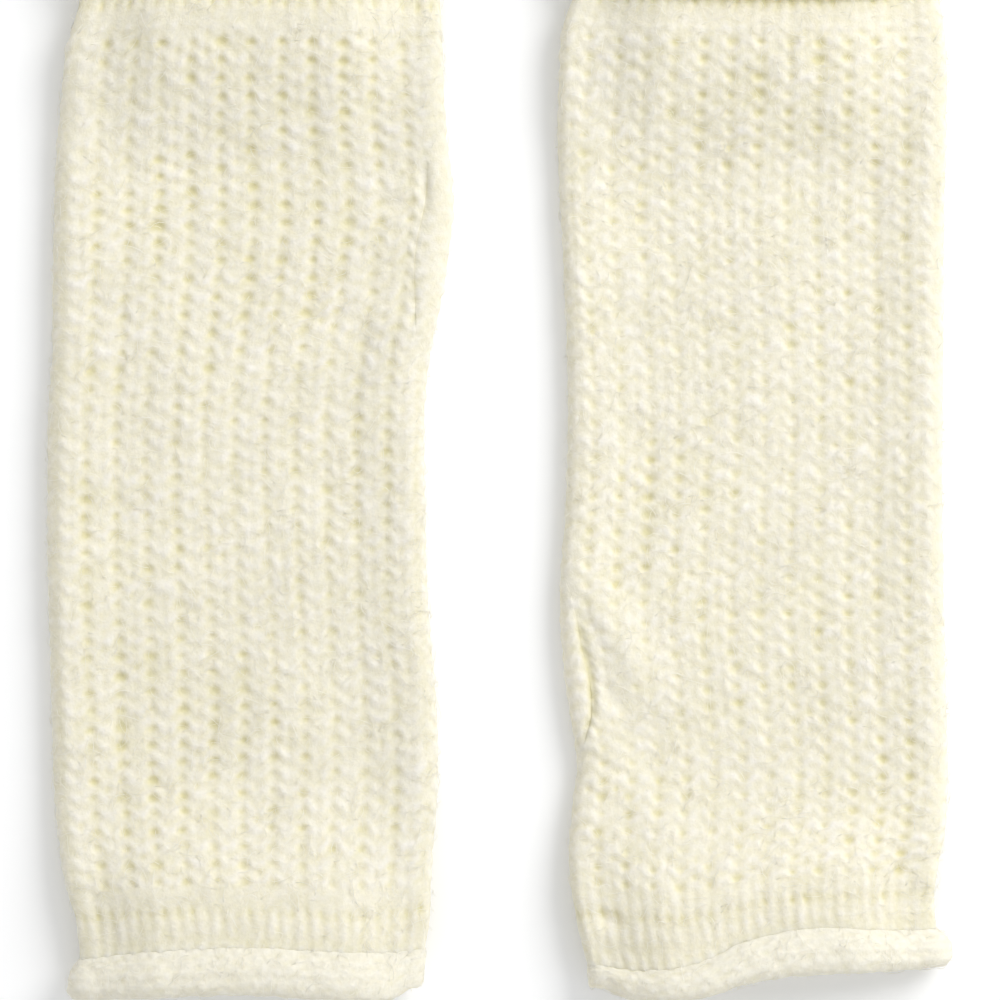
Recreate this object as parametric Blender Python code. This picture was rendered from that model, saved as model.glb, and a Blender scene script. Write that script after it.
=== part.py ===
"""A pair of knitted wrist warmers, laid flat side by side.

Each warmer is one knitted panel, folded lengthwise into a tube and seamed
along one long side, apart from a short stretch that stays open for the thumb.
The knit's plain edge rolls outward round both mouths. The right warmer lies
end for end with respect to the left one.

A warmer is built as the stretches of its panel: the upper half (front), the
lower half (back), and the rolled edge round each mouth. All of them follow
one middle surface, worked out below from the outline, the folds' height and
the gap between the halves.

Metres, +Z up, +Y along the warmers. The origin is on the ground under the
middle of the pair.
"""
import math

import bmesh
import bpy
import numpy as np
from mathutils import Vector

MM = 0.001

# ---------------------------------------------------------------- sizes, mm
CLOTH = 2.6          # thickness of the knitted wall
SEAM_GAP = 0.3       # between two pieces that meet
REST_GAP = 0.6       # between the halves where they lie on each other
FOLD_GAP = 2.0       # inside a side fold, where the knit can't fold flat
FOLD_LEAN = 1.15     # depth of a side fold over its half height
FOLD_REACH = 18.0    # from a side fold in to where the halves lie flat

ROLL_THICK = 6.0     # a rolled edge: two layers and the hollow of the curl
ROLL_NOSE = 4.2      # how far the curl stands past the end of the panel
NOSE_AT_SIDE = 0.62  # share of the nose that is left at the side folds
LIFT = ROLL_THICK - CLOTH   # the rolled edge below raises the panel's end
LIFT_FLAT = 13.0     # length of the raised end before it slopes down
LIFT_REACH = 52.0    # where it is down on the ground
MOUTH_GAPE = 5.0     # height of the mouth in its middle
MOUTH_HALF = 19.5    # half the width over which the mouth is that high
MOUTH_EASE = 18.0    # width over which it closes towards the side folds
MOUTH_FOLD_GAP = 0.6

SLIT_EASE = 5.0      # length over which the thumb slit opens at each end
SLIT_GAPE = 5.0      # height between its lips along the middle
SLIT_RISE = 7.0      # the lip rises from this far past each end to this far in
SLIT_FLAT = 8.0      # width of the raised lip
SLIT_REACH = 34.0    # from the lip in to where the halves lie flat
LIP_STEP = 1.7       # spacing of the lip's columns

HEM_REACH = 55.0     # how far in from a mouth the rows follow its slant

HALF_PITCH = 59.6    # from the middle of the pair to a warmer's centre line
CENTRE_SHIFT = (-0.04, -0.35)

FOLD_ANGLES = (0.0, 30.0, 60.0, 90.0)   # columns round a side fold
FLAT_COLUMNS = 7                        # columns between the two folds
ROW_STEP = 13.5                         # spacing of the rows in the middle

# ---------------------------------------------------------------- tables, mm
# Outline of the panel laid flat: along Y, left edge, right edge.
SIDES = {
    "left": (
        (119.7, -39.5, 45.6), (110.4, -40.0, 46.1), (98.7, -42.8, 46.3),
        (87.0, -43.7, 46.6), (75.3, -44.4, 47.5), (62.4, -45.1, 48.7),
        (51.9, -45.6, 47.7), (40.2, -45.9, 45.8), (28.5, -46.3, 43.3),
        (16.8, -46.6, 42.1), (-6.5, -46.3, 42.1), (-29.9, -45.6, 43.3),
        (-53.3, -44.2, 44.7), (-76.7, -42.3, 45.1), (-95.4, -40.7, 44.2),
        (-107.1, -38.8, 43.5), (-119.9, -38.6, 41.1),
    ),
    "right": (
        (116.9, -41.4, 42.3), (110.4, -42.3, 42.8), (103.3, -44.9, 44.0),
        (96.3, -45.6, 44.7), (82.3, -46.1, 44.9), (63.6, -45.6, 44.5),
        (40.2, -44.4, 44.3), (16.8, -43.7, 44.1), (-6.5, -44.2, 44.0),
        (-20.6, -45.0, 44.0), (-32.3, -44.9, 44.1), (-44.0, -43.6, 44.3),
        (-62.7, -41.4, 45.0), (-76.7, -42.2, 44.9), (-88.4, -43.5, 44.0),
        (-96.6, -43.5, 43.0), (-105.9, -41.9, 42.1), (-111.8, -40.0, 42.3),
        (-119.9, -35.8, 43.3),
    ),
}

# Where the panel turns into its rolled edge: along X, the panel's end along
# Y, and how far the curl reaches back over the panel.
HEMS = {
    ("left", "top"): (
        (-39.5, 119.2, 7.0), (-10.5, 120.2, 7.2), (19.9, 119.7, 7.0),
        (45.6, 118.8, 6.5),
    ),
    ("left", "bottom"): (
        (-41.4, -120.2, 6.1), (-23.8, -118.8, 7.0), (-1.2, -117.8, 7.2),
        (22.2, -119.0, 7.2), (36.2, -118.3, 6.3), (43.3, -115.6, 4.6),
    ),
    ("right", "top"): (
        (-41.4, 118.5, 7.0), (-24.5, 116.9, 7.2), (1.2, 116.2, 7.5),
        (29.2, 116.9, 7.2), (42.3, 118.8, 7.0),
    ),
    ("right", "bottom"): (
        (-35.1, -117.1, 4.2), (-26.2, -119.2, 4.9), (-12.9, -119.2, 6.3),
        (-2.3, -116.0, 7.0), (5.8, -115.0, 7.7), (16.8, -114.3, 8.4),
        (29.2, -113.6, 7.2), (41.9, -112.2, 6.8),
    ),
}

# The thumb slit, on the seamed side: along Y, and how far the upper lip has
# drawn back from the lower one.
SLIT_SIDE = {"left": 1, "right": -1}
SLITS = {
    "left": (
        (71.1, 5.2), (66.5, 6.2), (61.0, 7.0), (52.0, 8.0), (43.5, 7.4),
        (38.5, 6.4), (34.1, 5.2),
    ),
    "right": (
        (-31.8, 2.4), (-36.5, 3.2), (-41.5, 3.5), (-49.5, 4.4),
        (-57.0, 3.6), (-61.0, 2.6), (-65.0, 1.0),
    ),
}

# Largest folds of the upper half: soft ridges from one point to another,
# their height and half width.
RIDGES = {
    "left": (
        (36.0, 30.0, 26.0, 8.0, 0.9, 6.0),
        (30.0, 74.0, 12.0, 82.0, 0.7, 6.5),
        (-20.0, 60.0, -12.0, -20.0, 0.5, 9.0),
        (10.0, -40.0, 16.0, -88.0, 0.5, 9.0),
    ),
    "right": (
        (-37.0, -28.0, -24.0, -50.0, 1.5, 5.0),
        (-35.0, -66.0, -22.0, -84.0, 1.1, 6.0),
        (-24.0, -88.0, 2.0, -99.0, 0.8, 6.0),
        (6.0, 70.0, 2.0, 0.0, 0.5, 9.0),
        (20.0, -40.0, 30.0, -90.0, 0.6, 8.0),
    ),
}

CREAM = (0.88, 0.83, 0.69, 1.0)
CREAM_SHADE = (0.84, 0.78, 0.63, 1.0)
CREAM_LIGHT = (0.91, 0.87, 0.76, 1.0)


# ---------------------------------------------------------------- helpers
def ease(t):
    """0 below 0, 1 above 1, and a smooth step between."""
    t = np.clip(t, 0.0, 1.0)
    return t * t * (3.0 - 2.0 * t)


def table(rows, at, column):
    """A smooth reading of one column of a table whose first column is sorted."""
    data = np.array(rows, dtype=float)
    if data[0, 0] > data[-1, 0]:
        data = data[::-1]
    xs, ys = data[:, 0], data[:, column]
    slopes = np.gradient(ys, xs)
    at = np.clip(np.asarray(at, dtype=float), xs[0], xs[-1])
    i = np.clip(np.searchsorted(xs, at) - 1, 0, len(xs) - 2)
    span = xs[i + 1] - xs[i]
    t = (at - xs[i]) / span
    return ((2 * t**3 - 3 * t**2 + 1) * ys[i]
            + (t**3 - 2 * t**2 + t) * span * slopes[i]
            + (3 * t**2 - 2 * t**3) * ys[i + 1]
            + (t**3 - t**2) * span * slopes[i + 1])


def ridge_height(x, y, rows):
    """Height of the soft ridges at points x, y."""
    total = np.zeros_like(x)
    for x0, y0, x1, y1, height, half in rows:
        dx, dy = x1 - x0, y1 - y0
        along = np.clip(((x - x0) * dx + (y - y0) * dy) / (dx * dx + dy * dy),
                        0.0, 1.0)
        away = np.hypot(x - x0 - along * dx, y - y0 - along * dy)
        fade = ease(1.0 - np.abs(2.0 * along - 1.0) * 0.55)
        total += height * fade * np.exp(-(away / half) ** 2)
    return total


class Warmer:
    """The middle surface of one warmer, as a function of the row along Y."""

    def __init__(self, side):
        self.side = side
        self.sides = SIDES[side]
        self.top = self.sides[0][0]
        self.bottom = self.sides[-1][0]
        self.slit = SLITS[side]
        self.slit_top = self.slit[0][0]
        self.slit_bottom = self.slit[-1][0]
        self.seam = SLIT_SIDE[side]

    def to_end(self, y):
        """Distance from row y to the nearer mouth."""
        return min(self.top - y, y - self.bottom)

    def lift(self, y):
        down = ease((self.to_end(y) - LIFT_FLAT) / (LIFT_REACH - LIFT_FLAT))
        return LIFT * (1.0 - down)

    def mouth(self, y):
        """1 in a mouth, 0 along the tube."""
        return float(1.0 - ease((self.to_end(y) - LIFT_FLAT)
                                / (LIFT_REACH - LIFT_FLAT)))

    def fold_gap(self, y):
        m = self.mouth(y)
        return FOLD_GAP * (1.0 - m) + MOUTH_FOLD_GAP * m

    def opened(self, y):
        """1 along the thumb slit, 0 where the side is seamed."""
        inside = min(self.slit_top - y, y - self.slit_bottom)
        return float(ease(inside / SLIT_EASE))

    def gape(self, y):
        """Height between the lips of the thumb slit, and just past its ends."""
        inside = min(self.slit_top - y, y - self.slit_bottom)
        share = float(ease((inside + SLIT_RISE) / (2.0 * SLIT_RISE)))
        return FOLD_GAP + (SLIT_GAPE - FOLD_GAP) * share, share

    def columns(self, y, half):
        """The middle line of one half at row y: x and z of its columns."""
        left = float(table(self.sides, y, 1))
        right = float(table(self.sides, y, 2))
        lift, gap = self.lift(y), self.fold_gap(y)
        rise = 0.5 * (gap + CLOTH)
        lean = rise * FOLD_LEAN
        middle = lift + CLOTH + 0.5 * gap
        sign = 1.0 if half == "front" else -1.0
        opened = self.opened(y)
        retract = float(table(self.slit, y, 1)) if opened > 0 else 0.0
        gape = self.gape(y)[0]

        angles = np.radians(FOLD_ANGLES)
        inward = 0.5 * CLOTH + lean * (1.0 - np.cos(angles))
        height = (middle + sign * (rise * np.sin(angles)
                  + 0.5 * SEAM_GAP * (1.0 - np.sin(angles))))
        sides = {}
        for edge in (-1, 1):
            offset, z = inward.copy(), height.copy()
            if edge == self.seam and opened > 0:
                steps = LIP_STEP * np.arange(len(angles))
                if half == "front":
                    flat_offset = retract + steps
                    flat_z = np.full(len(angles),
                                     lift + CLOTH + gape + 0.5 * CLOTH)
                else:
                    flat_offset = steps * 1.1
                    flat_z = np.full(len(angles), lift + 0.5 * CLOTH)
                offset = offset + (flat_offset - offset) * opened
                z = z + (flat_z - z) * opened
            sides[edge] = (offset, z)
        x_left = left + sides[-1][0]
        x_right = right - sides[1][0]
        inner = np.linspace(x_left[-1], x_right[-1], FLAT_COLUMNS + 2)[1:-1]
        x = np.concatenate([x_left, inner, x_right[::-1]])
        if half == "front":
            z_inner = self.front_height(inner, y, left, right)
        else:
            z_inner = np.full(len(inner), lift + 0.5 * CLOTH)
        z = np.concatenate([sides[-1][1], z_inner, sides[1][1][::-1]])
        return x, z

    def front_height(self, x, y, left, right):
        """Middle height of the upper half between its side folds."""
        lift, side_gap, mouth = self.lift(y), self.fold_gap(y), self.mouth(y)
        to_side = np.minimum(x - left, right - x)
        near = 1.0 - ease((to_side - 4.0) / (FOLD_REACH - 4.0))
        gap = REST_GAP + (side_gap - REST_GAP) * near
        gap = gap + ridge_height(x, np.full_like(x, y), RIDGES[self.side]) \
            * (1.0 - mouth)
        centre = 0.5 * (left + right)
        open_mouth = ease((MOUTH_HALF + MOUTH_EASE - np.abs(x - centre))
                          / MOUTH_EASE)
        gap = gap + (MOUTH_GAPE - gap) * open_mouth * mouth
        gape, share = self.gape(y)
        if share > 0:
            edge = right if self.seam > 0 else left
            lip = edge - self.seam * float(table(self.slit, y, 1))
            away = np.abs(x - lip)
            raised = 1.0 - ease((away - SLIT_FLAT) / (SLIT_REACH - SLIT_FLAT))
            gap = gap + (np.maximum(gape, gap) - gap) * raised * share
        return lift + CLOTH + gap + 0.5 * CLOTH

    def shifted(self, x, y):
        """Y of a point on row y: near a mouth the rows follow its slant."""
        top = table(HEMS[self.side, "top"], x, 1) - self.top
        bottom = table(HEMS[self.side, "bottom"], x, 1) - self.bottom
        near_top = 1.0 - ease((self.top - y) / HEM_REACH)
        near_bottom = 1.0 - ease((y - self.bottom) / HEM_REACH)
        return y + top * near_top + bottom * near_bottom

    def section(self, y, half):
        """Inner points, outer points and outward normals of one half."""
        x, z = self.columns(y, half)
        tangent = np.stack([np.gradient(x), np.gradient(z)], axis=1)
        tangent[0] = (x[1] - x[0], z[1] - z[0])
        tangent[-1] = (x[-1] - x[-2], z[-1] - z[-2])
        if self.opened(y) == 0.0 or self.seam != -1:
            tangent[0] = (0.0, 1.0 if half == "front" else -1.0)
        if self.opened(y) == 0.0 or self.seam != 1:
            tangent[-1] = (0.0, -1.0 if half == "front" else 1.0)
        tangent /= np.linalg.norm(tangent, axis=1)[:, None]
        normal = np.stack([-tangent[:, 1], tangent[:, 0]], axis=1)
        if half == "back":
            normal = -normal
        along = self.shifted(x, y)
        middle = np.stack([x, along, z], axis=1)
        out = np.stack([normal[:, 0], np.zeros(len(x)), normal[:, 1]], axis=1)
        inner = middle - out * 0.5 * CLOTH
        outer = middle + out * 0.5 * CLOTH
        if half == "back":
            flat = np.abs(normal[:, 1] + 1.0) < 0.02
            outer[flat, 2] = self.lift(y)
        return inner, outer, out

    def rows(self):
        """Rows from the top mouth to the bottom one, closer where it bends."""
        near = (0.0, 7.0, 13.0, 20.0, 28.0, 36.0, 44.0, 53.0)
        marks = [self.top - d for d in near] + [self.bottom + d for d in near]
        marks += [self.slit_top + 7.0, self.slit_top, self.slit_top - 2.5,
                  self.slit_top - 5.0, self.slit_bottom - 7.0,
                  self.slit_bottom, self.slit_bottom + 2.5,
                  self.slit_bottom + 5.0]
        length = self.slit_top - self.slit_bottom - 10.0
        steps = max(2, round(length / 8.0))
        marks += [self.slit_bottom + 5.0 + length * i / steps
                  for i in range(1, steps)]
        marks = sorted(marks, reverse=True)
        rows = [marks[0]]
        for mark in marks[1:]:
            span = rows[-1] - mark
            if span < 1.9:
                continue
            pieces = max(1, round(span / ROW_STEP))
            start = rows[-1]
            rows += [start - span * i / pieces for i in range(1, pieces + 1)]
        rows[-1] = marks[-1]
        return rows


# ---------------------------------------------------------------- meshes
def cream(name, colour):
    material = bpy.data.materials.new(name)
    material.use_nodes = True
    shader = material.node_tree.nodes["Principled BSDF"]
    shader.inputs["Base Color"].default_value = colour
    shader.inputs["Roughness"].default_value = 0.95
    shader.inputs["Metallic"].default_value = 0.0
    material.diffuse_color = colour
    return material


def finish(name, bm, parent, colour):
    bmesh.ops.recalc_face_normals(bm, faces=bm.faces)
    bmesh.ops.triangulate(bm, faces=bm.faces, quad_method="SHORT_EDGE")
    mesh = bpy.data.meshes.new(name)
    bm.to_mesh(mesh)
    bm.free()
    mesh.materials.append(cream(name + "_knit", colour))
    mesh.shade_smooth()
    mesh.set_sharp_from_angle(angle=math.radians(40))
    obj = bpy.data.objects.new(name, mesh)
    bpy.context.scene.collection.objects.link(obj)
    obj.parent = parent
    return obj


def add_grid(bm, points):
    return [[bm.verts.new(Vector(p) * MM) for p in row] for row in points]


def wall(name, warmer, half, parent, colour):
    """One half of the panel: a wall between its inner and outer points."""
    inner_rows, outer_rows = [], []
    for y in warmer.rows():
        inner, outer, _ = warmer.section(y, half)
        inner_rows.append(inner)
        outer_rows.append(outer)
    bm = bmesh.new()
    inside, outside = add_grid(bm, inner_rows), add_grid(bm, outer_rows)
    last_row, last_col = len(inside) - 1, len(inside[0]) - 1
    for r in range(last_row):
        for c in range(last_col):
            for grid in (inside, outside):
                bm.faces.new((grid[r][c], grid[r][c + 1],
                              grid[r + 1][c + 1], grid[r + 1][c]))
        for c in (0, last_col):
            bm.faces.new((inside[r][c], inside[r + 1][c],
                          outside[r + 1][c], outside[r][c]))
    for c in range(last_col):
        for r in (0, last_row):
            bm.faces.new((inside[r][c], inside[r][c + 1],
                          outside[r][c + 1], outside[r][c]))
    return finish(name, bm, parent, colour)


def curl_profile(flap, nose):
    """Closed outline of a rolled edge: height over the panel's inner face,
    and distance past the panel's end."""
    thick = ROLL_THICK
    return (
        (0.0, SEAM_GAP), (0.0, nose - 2.6), (1.0, nose - 0.7),
        (0.5 * thick, nose), (thick - 1.0, nose - 0.7),
        (thick, nose - 2.6), (thick, -flap + 1.8),
        (thick - 0.8, -flap + 0.5), (CLOTH + 1.8, -flap),
        (CLOTH + SEAM_GAP, -flap + 0.9), (CLOTH + 0.8, 0.4),
        (CLOTH + 0.4, nose - 2.9), (CLOTH + 0.2, SEAM_GAP),
    )


def rolled_edge(name, warmer, end, parent, colour):
    """The rolled edge all round one mouth, swept past both halves' columns."""
    y_end = warmer.top if end == "top" else warmer.bottom
    past = 1.0 if end == "top" else -1.0
    hem = HEMS[warmer.side, end]
    left = float(table(warmer.sides, y_end, 1))
    right = float(table(warmer.sides, y_end, 2))
    stations = []
    for half in ("front", "back"):
        inner_end, _, out_end = warmer.section(y_end, half)
        count = len(inner_end)
        order = range(count) if half == "front" else range(count - 1, -1, -1)
        for c in order:
            x = inner_end[c, 0]
            flap = float(table(hem, x, 2))
            to_side = min(x - left, right - x)
            share = NOSE_AT_SIDE + (1.0 - NOSE_AT_SIDE) * float(
                ease((to_side - CLOTH) / 9.0))
            ring = []
            for height, beyond in curl_profile(flap, ROLL_NOSE * share):
                if beyond >= 0.0:
                    point = inner_end[c] + out_end[c] * height
                    point = point + np.array((0.0, past * beyond, 0.0))
                else:
                    inner, _, out = warmer.section(y_end + past * beyond, half)
                    point = inner[c] + out[c] * height
                ring.append(point)
            stations.append(ring)
    bm = bmesh.new()
    rings = add_grid(bm, stations)
    count, around = len(rings), len(rings[0])
    for i in range(count):
        ring, following = rings[i], rings[(i + 1) % count]
        for j in range(around):
            k = (j + 1) % around
            bm.faces.new((ring[j], ring[k], following[k], following[j]))
    return finish(name, bm, parent, colour)


def main():
    for old in list(bpy.data.objects):
        bpy.data.objects.remove(old, do_unlink=True)
    for side, sign in (("left", -1.0), ("right", 1.0)):
        parent = bpy.data.objects.new(side + "_warmer", None)
        bpy.context.scene.collection.objects.link(parent)
        parent.location = ((sign * HALF_PITCH + CENTRE_SHIFT[0]) * MM,
                           CENTRE_SHIFT[1] * MM, 0.0)
        warmer = Warmer(side)
        wall(side + "_front", warmer, "front", parent, CREAM)
        wall(side + "_back", warmer, "back", parent, CREAM_SHADE)
        for end in ("top", "bottom"):
            rolled_edge(side + "_roll_" + end, warmer, end, parent,
                        CREAM_LIGHT)
    bpy.context.view_layer.update()


main()
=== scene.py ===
"""A pair of cream knitted wrist warmers, laid flat side by side on white.

The cloth is a thin shell on the form of its solids, and its face is worked in
relief: columns of soft V stitches with small holes between them, a band of
tall V stitches next to each rolled edge, flat loops along the thumb slit, and
the purl side of the knit on the rolled edges. Fine loose fibres lie over it.

Sizes are in millimetres until a mesh is made.
"""

import math

import bmesh
import bpy
import numpy as np
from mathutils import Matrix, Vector


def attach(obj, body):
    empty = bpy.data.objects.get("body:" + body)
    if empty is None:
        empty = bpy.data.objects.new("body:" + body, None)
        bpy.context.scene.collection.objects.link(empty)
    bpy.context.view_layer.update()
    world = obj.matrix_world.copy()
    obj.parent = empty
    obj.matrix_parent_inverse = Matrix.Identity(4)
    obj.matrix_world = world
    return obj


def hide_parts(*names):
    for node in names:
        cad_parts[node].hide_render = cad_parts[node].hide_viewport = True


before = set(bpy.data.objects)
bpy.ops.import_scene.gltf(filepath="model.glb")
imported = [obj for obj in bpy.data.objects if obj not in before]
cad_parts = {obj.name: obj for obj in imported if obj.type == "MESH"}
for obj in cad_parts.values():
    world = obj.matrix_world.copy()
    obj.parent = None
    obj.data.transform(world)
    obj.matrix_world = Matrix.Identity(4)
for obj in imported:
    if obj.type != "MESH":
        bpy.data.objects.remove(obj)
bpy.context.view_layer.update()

MM = 0.001

# ------------------------------------------------------- form of the cloth, mm
CLOTH = 2.6
REST_GAP = 0.6
FOLD_GAP = 2.0
FOLD_LEAN = 1.15
FOLD_REACH = 18.0
ROLL_THICK = 6.0
ROLL_NOSE = 4.2
NOSE_AT_SIDE = 0.64
LIFT = ROLL_THICK - CLOTH
LIFT_FLAT = 13.0
LIFT_REACH = 52.0
MOUTH_GAPE = 5.0
MOUTH_HALF = 19.5
MOUTH_EASE = 18.0
MOUTH_FOLD_GAP = 0.6
SLIT_EASE = 5.0
HEM_REACH = 55.0
HALF_PITCH = 59.6
CENTRE_SHIFT = (-0.04, -0.35)
FOLD_ANGLES = np.linspace(0.0, 90.0, 10)
FLAT_COLUMNS = 71

# Outline laid flat: along Y, left edge, right edge.
SIDES = {
    "left": (
        (119.7, -38.8, 45.4), (110.4, -39.0, 45.8), (98.7, -42.0, 46.2),
        (87.0, -43.1, 46.6), (75.3, -44.3, 47.5), (62.4, -44.7, 48.7),
        (51.9, -45.0, 47.6), (40.2, -45.2, 45.9), (28.5, -45.2, 43.3),
        (16.8, -46.0, 42.1), (-6.5, -46.4, 42.1), (-29.9, -46.1, 42.7),
        (-53.3, -45.4, 44.6), (-76.7, -44.6, 44.9), (-95.4, -42.2, 43.6),
        (-107.1, -39.3, 43.3), (-119.9, -38.6, 41.1),
    ),
    "right": (
        (116.9, -41.4, 42.3), (110.4, -42.3, 42.8), (103.3, -44.9, 44.0),
        (96.3, -45.6, 44.7), (82.3, -46.1, 44.9), (63.6, -45.6, 44.5),
        (40.2, -44.4, 44.3), (16.8, -43.7, 44.1), (-6.5, -44.2, 44.0),
        (-20.6, -45.2, 44.2), (-32.3, -45.6, 44.3), (-44.0, -44.8, 44.5),
        (-53.0, -43.8, 44.8), (-60.2, -42.7, 45.0), (-67.5, -41.6, 45.2),
        (-76.7, -42.4, 45.1), (-88.4, -43.5, 44.4),
        (-96.6, -43.3, 43.0), (-105.9, -41.9, 42.1), (-111.8, -40.7, 42.3),
        (-119.9, -38.4, 43.3),
    ),
}
# Where the panel turns into its rolled edge: along X, the end along Y, and
# how far the curl reaches back over the panel.
HEMS = {
    ("left", "top"): (
        (-39.5, 119.2, 5.4), (-10.5, 120.2, 6.0), (19.9, 119.7, 5.7),
        (45.6, 118.8, 5.1),
    ),
    ("left", "bottom"): (
        (-41.4, -120.2, 6.1), (-23.8, -118.8, 7.0), (-1.2, -117.8, 7.2),
        (22.2, -119.2, 7.3), (36.2, -119.1, 7.0), (43.3, -116.2, 4.6),
    ),
    ("right", "top"): (
        (-41.4, 118.5, 6.6), (-24.5, 116.9, 6.5), (1.2, 116.2, 6.0),
        (29.2, 116.9, 6.5), (42.3, 118.8, 6.6),
    ),
    ("right", "bottom"): (
        (-35.6, -118.0, 2.8), (-26.2, -119.3, 3.1), (-12.9, -118.6, 4.4),
        (-2.3, -115.4, 6.2), (5.8, -113.9, 6.9), (16.8, -113.1, 7.5),
        (29.2, -112.6, 6.2), (41.9, -112.0, 5.6),
    ),
}
SLIT_SIDE = {"left": 1, "right": -1}
SLITS = {
    "left": (
        (71.1, 5.2), (66.5, 6.2), (61.0, 7.0), (52.0, 8.0), (43.5, 7.4),
        (38.5, 6.4), (34.1, 5.2),
    ),
    "right": (
        (-30.5, 3.2), (-34.3, 4.2), (-40.3, 4.9), (-46.2, 6.0),
        (-51.5, 5.9), (-56.2, 5.0), (-61.0, 2.8), (-64.0, 1.4),
    ),
}
RIDGES = {
    "left": (
        (36.0, 30.0, 26.0, 8.0, 0.9, 6.0),
        (30.0, 74.0, 12.0, 82.0, 0.7, 6.5),
        (-20.0, 60.0, -12.0, -20.0, 0.5, 9.0),
        (10.0, -40.0, 16.0, -88.0, 0.5, 9.0),
    ),
    "right": (
        (-37.0, -28.0, -24.0, -50.0, 1.5, 5.0),
        (-35.0, -66.0, -22.0, -84.0, 1.1, 6.0),
        (-24.0, -88.0, 2.0, -99.0, 0.8, 6.0),
        (6.0, 70.0, 2.0, 0.0, 0.5, 9.0),
        (20.0, -40.0, 30.0, -90.0, 0.6, 8.0),
    ),
}
# Small creases and puckers of the upper half, too fine for the solid: from one
# point to another, height (a trough where negative) and half width.
CREASES = {
    "left": (
        (33.4, 62.3, 39.0, 62.6, -1.1, 1.1),
        (41.6, 72.0, 41.8, 63.0, -0.8, 1.3),
        (30.0, 36.0, 41.0, 33.0, 0.5, 3.0),
        (24.0, 52.0, 38.0, 57.0, 0.35, 3.5),
    ),
    "right": (
        (-30.0, 113.4, 40.0, 113.4, 1.7, 3.9),
        (-41.0, -29.5, -36.5, -40.0, -0.7, 1.4),
        (-37.0, -48.0, -31.0, -55.0, -0.5, 1.6),
        (-33.5, -35.0, -26.0, -56.0, 0.55, 3.2),
        (-39.0, -66.0, -30.0, -72.0, -0.45, 1.8),
        (-41.0, -78.0, -28.0, -92.0, 0.5, 4.0),
        (-36.0, -104.0, -31.0, -106.0, -1.3, 1.5),
    ),
}

# Trough next to the right warmer's top rolled edge, partly painted shadow of that
# edge through the depth colour.
TOP_FOLD_AND_SHADE = ((-25.0, 110.8, 36.0, 110.8, -0.45, 1.8),)

# ------------------------------------------------------------- the stitches
TURN = 13.2          # stitch columns from one side fold to the other
WALE = 7.05          # width of a stitch column
COURSE = 4.18        # height of one row of stitches
SHELL_IN = -2.5      # inner face of the knit, under its outer face
LATTICE = {"left": (104.0, -96.4), "right": (104.6, -97.2)}
TILT = {"left": 0.040, "right": 0.022}
FACING = {"left": 1.0, "right": -1.0}   # the right one lies end for end
# Columns of holes on each half: the first one, their spacing, how many.
HOLES = {"left": (0.60, 1.0, 13), "right": (0.25, 0.9462, 14)}
BAND_COURSE = 7.3
LIP_RISE = {"left": 0.0, "right": 0.45}   # how the slit's upper lip stands up
LIP_DIP = {"left": 0.15, "right": 0.60}    # how far both lips round down
LIP_WIDE = {"left": 1.0, "right": 1.1}
SEAM_REST = 0.10     # where the seam runs away from the slit, in columns

SOFT = 0.55          # how far light spreads under the surface of the wool

SEED = 20127


def ease(t):
    t = np.clip(t, 0.0, 1.0)
    return t * t * (3.0 - 2.0 * t)


def table(rows, at, column):
    data = np.array(rows, dtype=float)
    if data[0, 0] > data[-1, 0]:
        data = data[::-1]
    xs, ys = data[:, 0], data[:, column]
    slopes = np.gradient(ys, xs)
    at = np.clip(np.asarray(at, dtype=float), xs[0], xs[-1])
    i = np.clip(np.searchsorted(xs, at) - 1, 0, len(xs) - 2)
    span = xs[i + 1] - xs[i]
    t = (at - xs[i]) / span
    return ((2 * t**3 - 3 * t**2 + 1) * ys[i]
            + (t**3 - 2 * t**2 + t) * span * slopes[i]
            + (3 * t**2 - 2 * t**3) * ys[i + 1]
            + (t**3 - t**2) * span * slopes[i + 1])


def ridge_height(x, y, rows):
    total = np.zeros(np.broadcast(x, y).shape)
    for x0, y0, x1, y1, height, half in rows:
        dx, dy = x1 - x0, y1 - y0
        along = np.clip(((x - x0) * dx + (y - y0) * dy) / (dx * dx + dy * dy),
                        0.0, 1.0)
        away = np.hypot(x - x0 - along * dx, y - y0 - along * dy)
        fade = ease(1.0 - np.abs(2.0 * along - 1.0) * 0.55)
        total = total + height * fade * np.exp(-(away / half) ** 2)
    return total


def field(seed, cell):
    """Smooth noise from -1 to 1 with features about one cell wide."""
    grid = np.random.default_rng(seed).uniform(-1.0, 1.0, (64, 64))

    def read(x, y):
        x = np.asarray(x, dtype=float) / cell
        y = np.asarray(y, dtype=float) / cell
        i, j = np.floor(x).astype(int), np.floor(y).astype(int)
        tx, ty = ease(x - i), ease(y - j)
        a, b = grid[i % 64, j % 64], grid[(i + 1) % 64, j % 64]
        c, d = grid[i % 64, (j + 1) % 64], grid[(i + 1) % 64, (j + 1) % 64]
        return (a * (1 - tx) + b * tx) * (1 - ty) + (c * (1 - tx) + d * tx) * ty

    return read


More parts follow.
